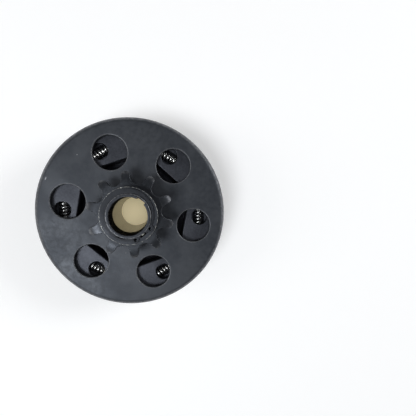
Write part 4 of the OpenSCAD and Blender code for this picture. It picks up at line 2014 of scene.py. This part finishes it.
@dataclass
class ShoeSet:
    """The six shoes with their pins and springs.

    Each spring lies on a straight chord at right angles to the direction chord, at spring_r from
    the axis. The eye is the round window that shows it. Directions are in degrees from the middle
    of the spring's own shoe.
    """

    count: int = 6
    start: float = -10.5
    inner: float = 30.9
    arc_r: float = 51.1
    travel: float = 0.8
    gap: float = 1.6
    edge: float = 0.7
    arm_w: float = 12.3
    slot_end: float = 41.15
    slot_play: float = 0.3
    channel_r: float = 3.4
    channel_roof: float = 1.2
    channel_gap: float = 0.4
    spring_r: float = 39.4
    chord: float = 11.0
    eye_r: float = 4.7
    eye_angle: float = 8.0
    pin_angles: tuple[float, float] = (-12.0, 34.0)
    pin_r: float = 1.05
    hook_play: float = 0.3
    coil_r: float = 2.4
    wire_r: float = 0.6
    coils: float = 13.0
    lead: float = 1.7
    turn_steps: int = 28
    hook_steps: int = 26

    @property
    def step(self) -> float:
        """Degrees from one shoe to the next."""
        return 360.0 / self.count

    @property
    def spring_z(self) -> float:
        """Height of the springs' middle line."""
        return heights("shoe_1")[1] - self.channel_roof - self.channel_r

    @property
    def channel_half(self) -> float:
        """Half the length of a spring's channel."""
        return self.chord_half + self.hook_play + self.coil_r + self.wire_r + self.channel_gap

    @property
    def chord_half(self) -> float:
        """Half the distance between a spring's two pins."""
        return self.spring_r * math.tan(math.radians((self.pin_angles[1] - self.pin_angles[0]) / 2))

    def outline(self) -> list[Point2]:
        """The shoe seen from the front, about +X.

        Returns:
            The outline's points.
        """
        half = math.radians(self.step / 2)
        lean = self.gap / 2 / math.cos(half)
        side = self.inner * math.tan(half) - lean
        reach = 45.0
        for _ in range(20):
            y = reach * math.tan(half) - lean
            reach = math.sqrt(self.arc_r**2 - y**2) - self.travel
        y = reach * math.tan(half) - lean
        end = math.atan2(y, reach + self.travel)
        arc = arc_points((-self.travel, 0.0), self.arc_r, -end, end, 60)
        outside: list[Corner] = [(*arc[0], 0.9), *((x, y, 0.0) for x, y in arc[3:-3]), (*arc[-1], 0.9)]
        return rounded([(self.inner, -side, 1.0), *outside, (self.inner, side, 1.0)], 5)

    def shoe(self, material: bpy.types.Material) -> bpy.types.Mesh:
        """One shoe about +X: slot, spring channels and spring window cut out.

        Args:
            material: The shoe's material.

        Returns:
            Its mesh.
        """
        low, high = heights("shoe_1")
        mesh = slab("shoe_blank", self.outline(), low, high, self.edge, steps=3)
        slot_top = heights("driver_spider")[1] + self.slot_play
        slot = block("slot_tool", (0.0, -self.arm_w / 2, low - 2), (self.slot_end, self.arm_w / 2, slot_top))
        mesh = TREES.ring("shoe_slotted", mesh, slot, material)
        half = self.channel_half
        inset = 0.4
        profile = [(0.0, -half), (self.channel_r - inset, -half), (self.channel_r, inset - half)]
        profile += [(self.channel_r, half - inset), (self.channel_r - inset, half), (0.0, half)]
        laid = Matrix.Rotation(math.radians(-90), 4, "X")
        tunnel = moved(lathe("channel_tool", profile, 64), shift(self.spring_r, 0, self.spring_z) @ laid)
        for turn in (self.chord, self.chord - self.step):
            mesh = TREES.ring("shoe_bored", mesh, tunnel, material, start=turn)
        eye_at = self.spring_r / math.cos(math.radians(self.eye_angle - self.chord))
        lip = 0.35
        profile = [(0.0, self.spring_z), (self.eye_r, self.spring_z)]
        profile += arc_points((self.eye_r + lip, high - lip), lip, math.pi, math.pi / 2, 5)
        profile += [(self.eye_r + lip, high + 1), (0.0, high + 1)]
        eye = moved(lathe("eye_tool", profile, 72), shift(eye_at))
        return TREES.ring("shoe_skin", mesh, eye, material, start=self.eye_angle)

    def pins(self) -> bpy.types.Mesh:
        """The two spring pins of one shoe, with eased ends.

        Returns:
            Their mesh.
        """
        low, high = heights("spring_pins_1")
        corners = [(0.0, low, 0.0), (self.pin_r, low, 0.2), (self.pin_r, high, 0.25), (0.0, high, 0.0)]
        pin = lathe("pin", rounded(corners, 4), 40)
        first, second = self.pin_angles
        at = shift(self.spring_r / math.cos(math.radians((second - first) / 2)))
        copies = [moved(pin, about_z(angle) @ at) for angle in (first, second - self.step)]

        def build(work: bmesh.types.BMesh) -> None:
            """Puts both pins into one mesh.

            Args:
                work: The bmesh that is filled.
            """
            for copy in copies:
                work.from_mesh(copy)

        return mesh_from("spring_pins", build)

    def spring(self, material: bpy.types.Material) -> bpy.types.Mesh:
        """One spring on its chord, about +X.

        Args:
            material: The wire's material.

        Returns:
            Its mesh.
        """
        half = self.chord_half - self.pin_r - 2 * self.wire_r - self.lead
        sizes = {
            "Coils": self.coils,
            "Coil Radius": self.coil_r * MM,
            "Half Length": half * MM,
            "Pin Reach": (self.chord_half + self.hook_play) * MM,
            "Wire Radius": self.wire_r * MM,
            "Steps": int(self.coils * self.turn_steps) + 1,
            "Hook Steps": self.hook_steps,
        }
        mesh = TREES.coil("spring_wire", material, sizes)
        mesh = mesh_from("spring_wire", lambda work: work.from_mesh(mesh))
        stand = Matrix(((0, 1, 0, 0), (1, 0, 0, 0), (0, 0, -1, 0), (0, 0, 0, 1)))
        return moved(mesh, about_z(self.chord) @ shift(self.spring_r, 0, self.spring_z) @ stand)

    def build(self) -> None:
        """Makes every shoe, its pins and its spring."""
        shoe_finish = Sintered("shoe_sintered").build()
        wire_finish = BrightWire("spring_wire_steel").build()
        pin_finish = BrightWire("pin_steel", bright=(0.7, 0.7, 0.7), roughness=0.28).build()
        shoe = settle(self.shoe(shoe_finish))
        pins = settle(self.pins())
        spring = settle(self.spring(wire_finish), 60)
        for i in range(self.count):
            k = i + 1
            turn = about_z(self.start + self.step * i)
            body = f"{Body.SHOE.value}{k}"
            hand_over(f"brake_shoe_{k}", moved(shoe, turn), shoe_finish, body, Slot.SINTERED, f"shoe_{k}")
            placed = moved(pins, turn)
            hand_over(f"pins_of_shoe_{k}", placed, pin_finish, body, Slot.SPRING, f"spring_pins_{k}")
            hand_over(f"coil_spring_{k}", moved(spring, turn), wire_finish, body, Slot.SPRING, f"spring_{k}")


# Camera, light and floor


@dataclass(frozen=True)
class PhotoCamera:
    """The camera at the photograph's viewing angle, close above the hub.

    The photograph is cropped, so its lens axis meets it beside its middle: axis_x and axis_y are
    that point's distances from the left and the top, as shares of the photograph's side.
    """

    place: tuple[float, float, float] = (14.67, 10.1, 213.5)
    look: tuple[float, float, float] = (0.1112, -0.1171, -0.9869)
    up: tuple[float, float, float] = (-0.0008, 0.9931, -0.1180)
    focal_share: float = 0.745
    axis_x: float = 0.463
    axis_y: float = 0.561
    sensor: float = 36.0

    def build(self) -> None:
        """Makes it the scene's camera."""
        data = bpy.data.cameras.new("photo_camera")
        data.sensor_fit = "HORIZONTAL"
        data.sensor_width = self.sensor
        data.lens = self.sensor * self.focal_share
        data.shift_x = 0.5 - self.axis_x
        data.shift_y = self.axis_y - 0.5
        data.clip_start = 0.005
        data.clip_end = 20.0
        data.dof.use_dof = False
        camera = bpy.data.objects.new("photo_camera", data)
        bpy.context.scene.collection.objects.link(camera)
        back = -Vector(self.look).normalized()
        right = Vector(self.up).cross(back).normalized()
        top = back.cross(right)
        turned = Matrix((right, top, back)).transposed().to_4x4()
        camera.matrix_world = shift(*self.place) @ turned
        bpy.context.scene.camera = camera


@dataclass(frozen=True)
class SoftLamp:
    """One soft square lamp, aimed at the clutch."""

    name: str
    place: tuple[float, float, float]
    side: float
    watts: float
    colour: Colour = (1.0, 1.0, 1.0)
    glossy: bool = True
    target_z: float = 0.03

    def build(self) -> None:
        """Hangs the lamp."""
        data = bpy.data.lights.new(self.name, "AREA")
        data.shape = "SQUARE"
        data.size = self.side
        data.energy = self.watts
        data.color = self.colour
        lamp = bpy.data.objects.new(self.name, data)
        bpy.context.scene.collection.objects.link(lamp)
        aim = Vector((0.0, 0.0, self.target_z)) - Vector(self.place)
        lamp.matrix_world = Matrix.Translation(self.place) @ aim.to_track_quat("-Z", "Y").to_matrix().to_4x4()
        lamp.visible_glossy = self.glossy


@dataclass(frozen=True)
class Studio:
    """The pale floor, the lamps and the even light round them.

    The walls of the room are white where they are seen or mirrored, from the floor up to wall_low
    and fading out at wall_high, which are heights on a sphere of radius 1.
    """

    floor_side: float = 6.0
    floor_gap: float = 0.1
    floor: Colour = (0.97, 0.97, 0.97)
    cream: Colour = (0.84, 0.73, 0.46)
    cream_r: float = 0.030
    floor_lift: float = 0.10
    far_lift: float = 0.97
    far_start: float = 0.12
    far_end: float = 1.8
    # Glow of the cream patch: painted light in the clutch's shadow.
    cream_glow: float = 0.32
    sky: Colour = (0.93, 0.96, 1.0)
    sky_strength: float = 0.10
    wall_low: float = 0.15
    wall_high: float = 0.5
    lamps: tuple[SoftLamp, ...] = (
        SoftLamp("overhead", (0.03, 0.02, 1.2), 0.26, 3.8, glossy=False),
        SoftLamp("left_high", (-0.50, -0.36, 1.18), 0.5, 7.6, (0.94, 0.97, 1.0)),
        SoftLamp("left_low", (-0.95, -0.05, 0.55), 0.5, 1.8, (1.0, 0.96, 0.90)),
        SoftLamp("right_low", (0.92, 0.34, 0.62), 0.4, 3.6),
        SoftLamp("right_fill", (0.9, 0.5, 0.9), 0.8, 0.8),
    )

    def floor_material(self) -> bpy.types.Material:
        """White paper, cream where only the bore shows it, where it also glows as painted light.

        Returns:
            The material.
        """
        paint = Paint("paper_floor", self.floor, 0.85, 0.0)
        sketch = paint.sketch
        parts = sketch.add("ShaderNodeSeparateXYZ")
        sketch.link(paint.place, parts.inputs[0])
        x, y, _ = parts.outputs
        radial = sketch.hypot(x, y)
        inside = sketch.ramp(radial, self.cream_r, self.cream_r + 0.01, 1.0, 0.0)
        grain = sketch.noise(paint.place, 900.0, 4, 0.6)
        tone = sketch.mix(sketch.times(grain, 0.05), self.floor, (0.9, 0.9, 0.9))
        paint.colour(sketch.mix(inside, tone, self.cream))
        path = sketch.add("ShaderNodeLightPath")
        seen = sketch.math("MAXIMUM", path.outputs["Is Camera Ray"], path.outputs["Is Glossy Ray"])
        far = sketch.ramp(radial, self.far_start, self.far_end)
        near = tuple(self.floor_lift * c for c in self.floor)
        away = tuple(self.far_lift * c for c in self.floor)
        # Painted light: the cream patch glows for camera and mirrored rays, more strongly than the white
        # floor.
        cream_glow_colour = tuple(self.cream_glow * c for c in self.cream)
        white = sketch.mix(far, near, away)
        sketch.link(sketch.mix(inside, white, cream_glow_colour), paint.shader.inputs["Emission Color"])
        sketch.link(seen, paint.shader.inputs["Emission Strength"])
        return paint.material

    def build(self) -> None:
        """Lays the floor, hangs the lamps and sets the world and the view."""

        def build(work: bmesh.types.BMesh) -> None:
            """Adds one flat square."""
            bmesh.ops.create_grid(work, x_segments=2, y_segments=2, size=self.floor_side / 2)

        floor_mesh = mesh_from("floor", build)
        floor_mesh.materials.append(self.floor_material())
        floor = bpy.data.objects.new("floor", floor_mesh)
        floor.location.z = -self.floor_gap * MM
        bpy.context.scene.collection.objects.link(floor)
        for lamp in self.lamps:
            lamp.build()
        world = bpy.data.worlds.new("even_light")
        world.use_nodes = True
        bpy.context.scene.world = world
        sketch = Sketch(world.node_tree)
        backdrop = world.node_tree.nodes["Background"]
        path = sketch.add("ShaderNodeLightPath")
        parts = sketch.add("ShaderNodeSeparateXYZ")
        sketch.link(sketch.add("ShaderNodeTexCoord").outputs["Generated"], parts.inputs[0])
        low = sketch.ramp(parts.outputs["Z"], self.wall_low, self.wall_high, 1.0, 0.0)
        mirrored = sketch.times(path.outputs["Is Glossy Ray"], low)
        white = sketch.math("MAXIMUM", path.outputs["Is Camera Ray"], mirrored)
        sketch.link(sketch.mix(white, self.sky, (1.0, 1.0, 1.0)), backdrop.inputs["Color"])
        sketch.link(sketch.ramp(white, 0.0, 1.0, self.sky_strength, 1.0), backdrop.inputs["Strength"])
        bpy.context.scene.view_settings.view_transform = "Standard"


def main() -> None:
    """Builds the clutch's sub-assemblies in order."""
    logging.basicConfig(level=logging.INFO, format="%(name)s %(message)s")
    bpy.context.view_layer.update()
    PhotoCamera().build()
    DrumCup().build()
    ChainSprocket().build()
    HubAndRings().build()
    ShoeSet().build()
    Studio().build()


if __name__ == "__main__":
    main()
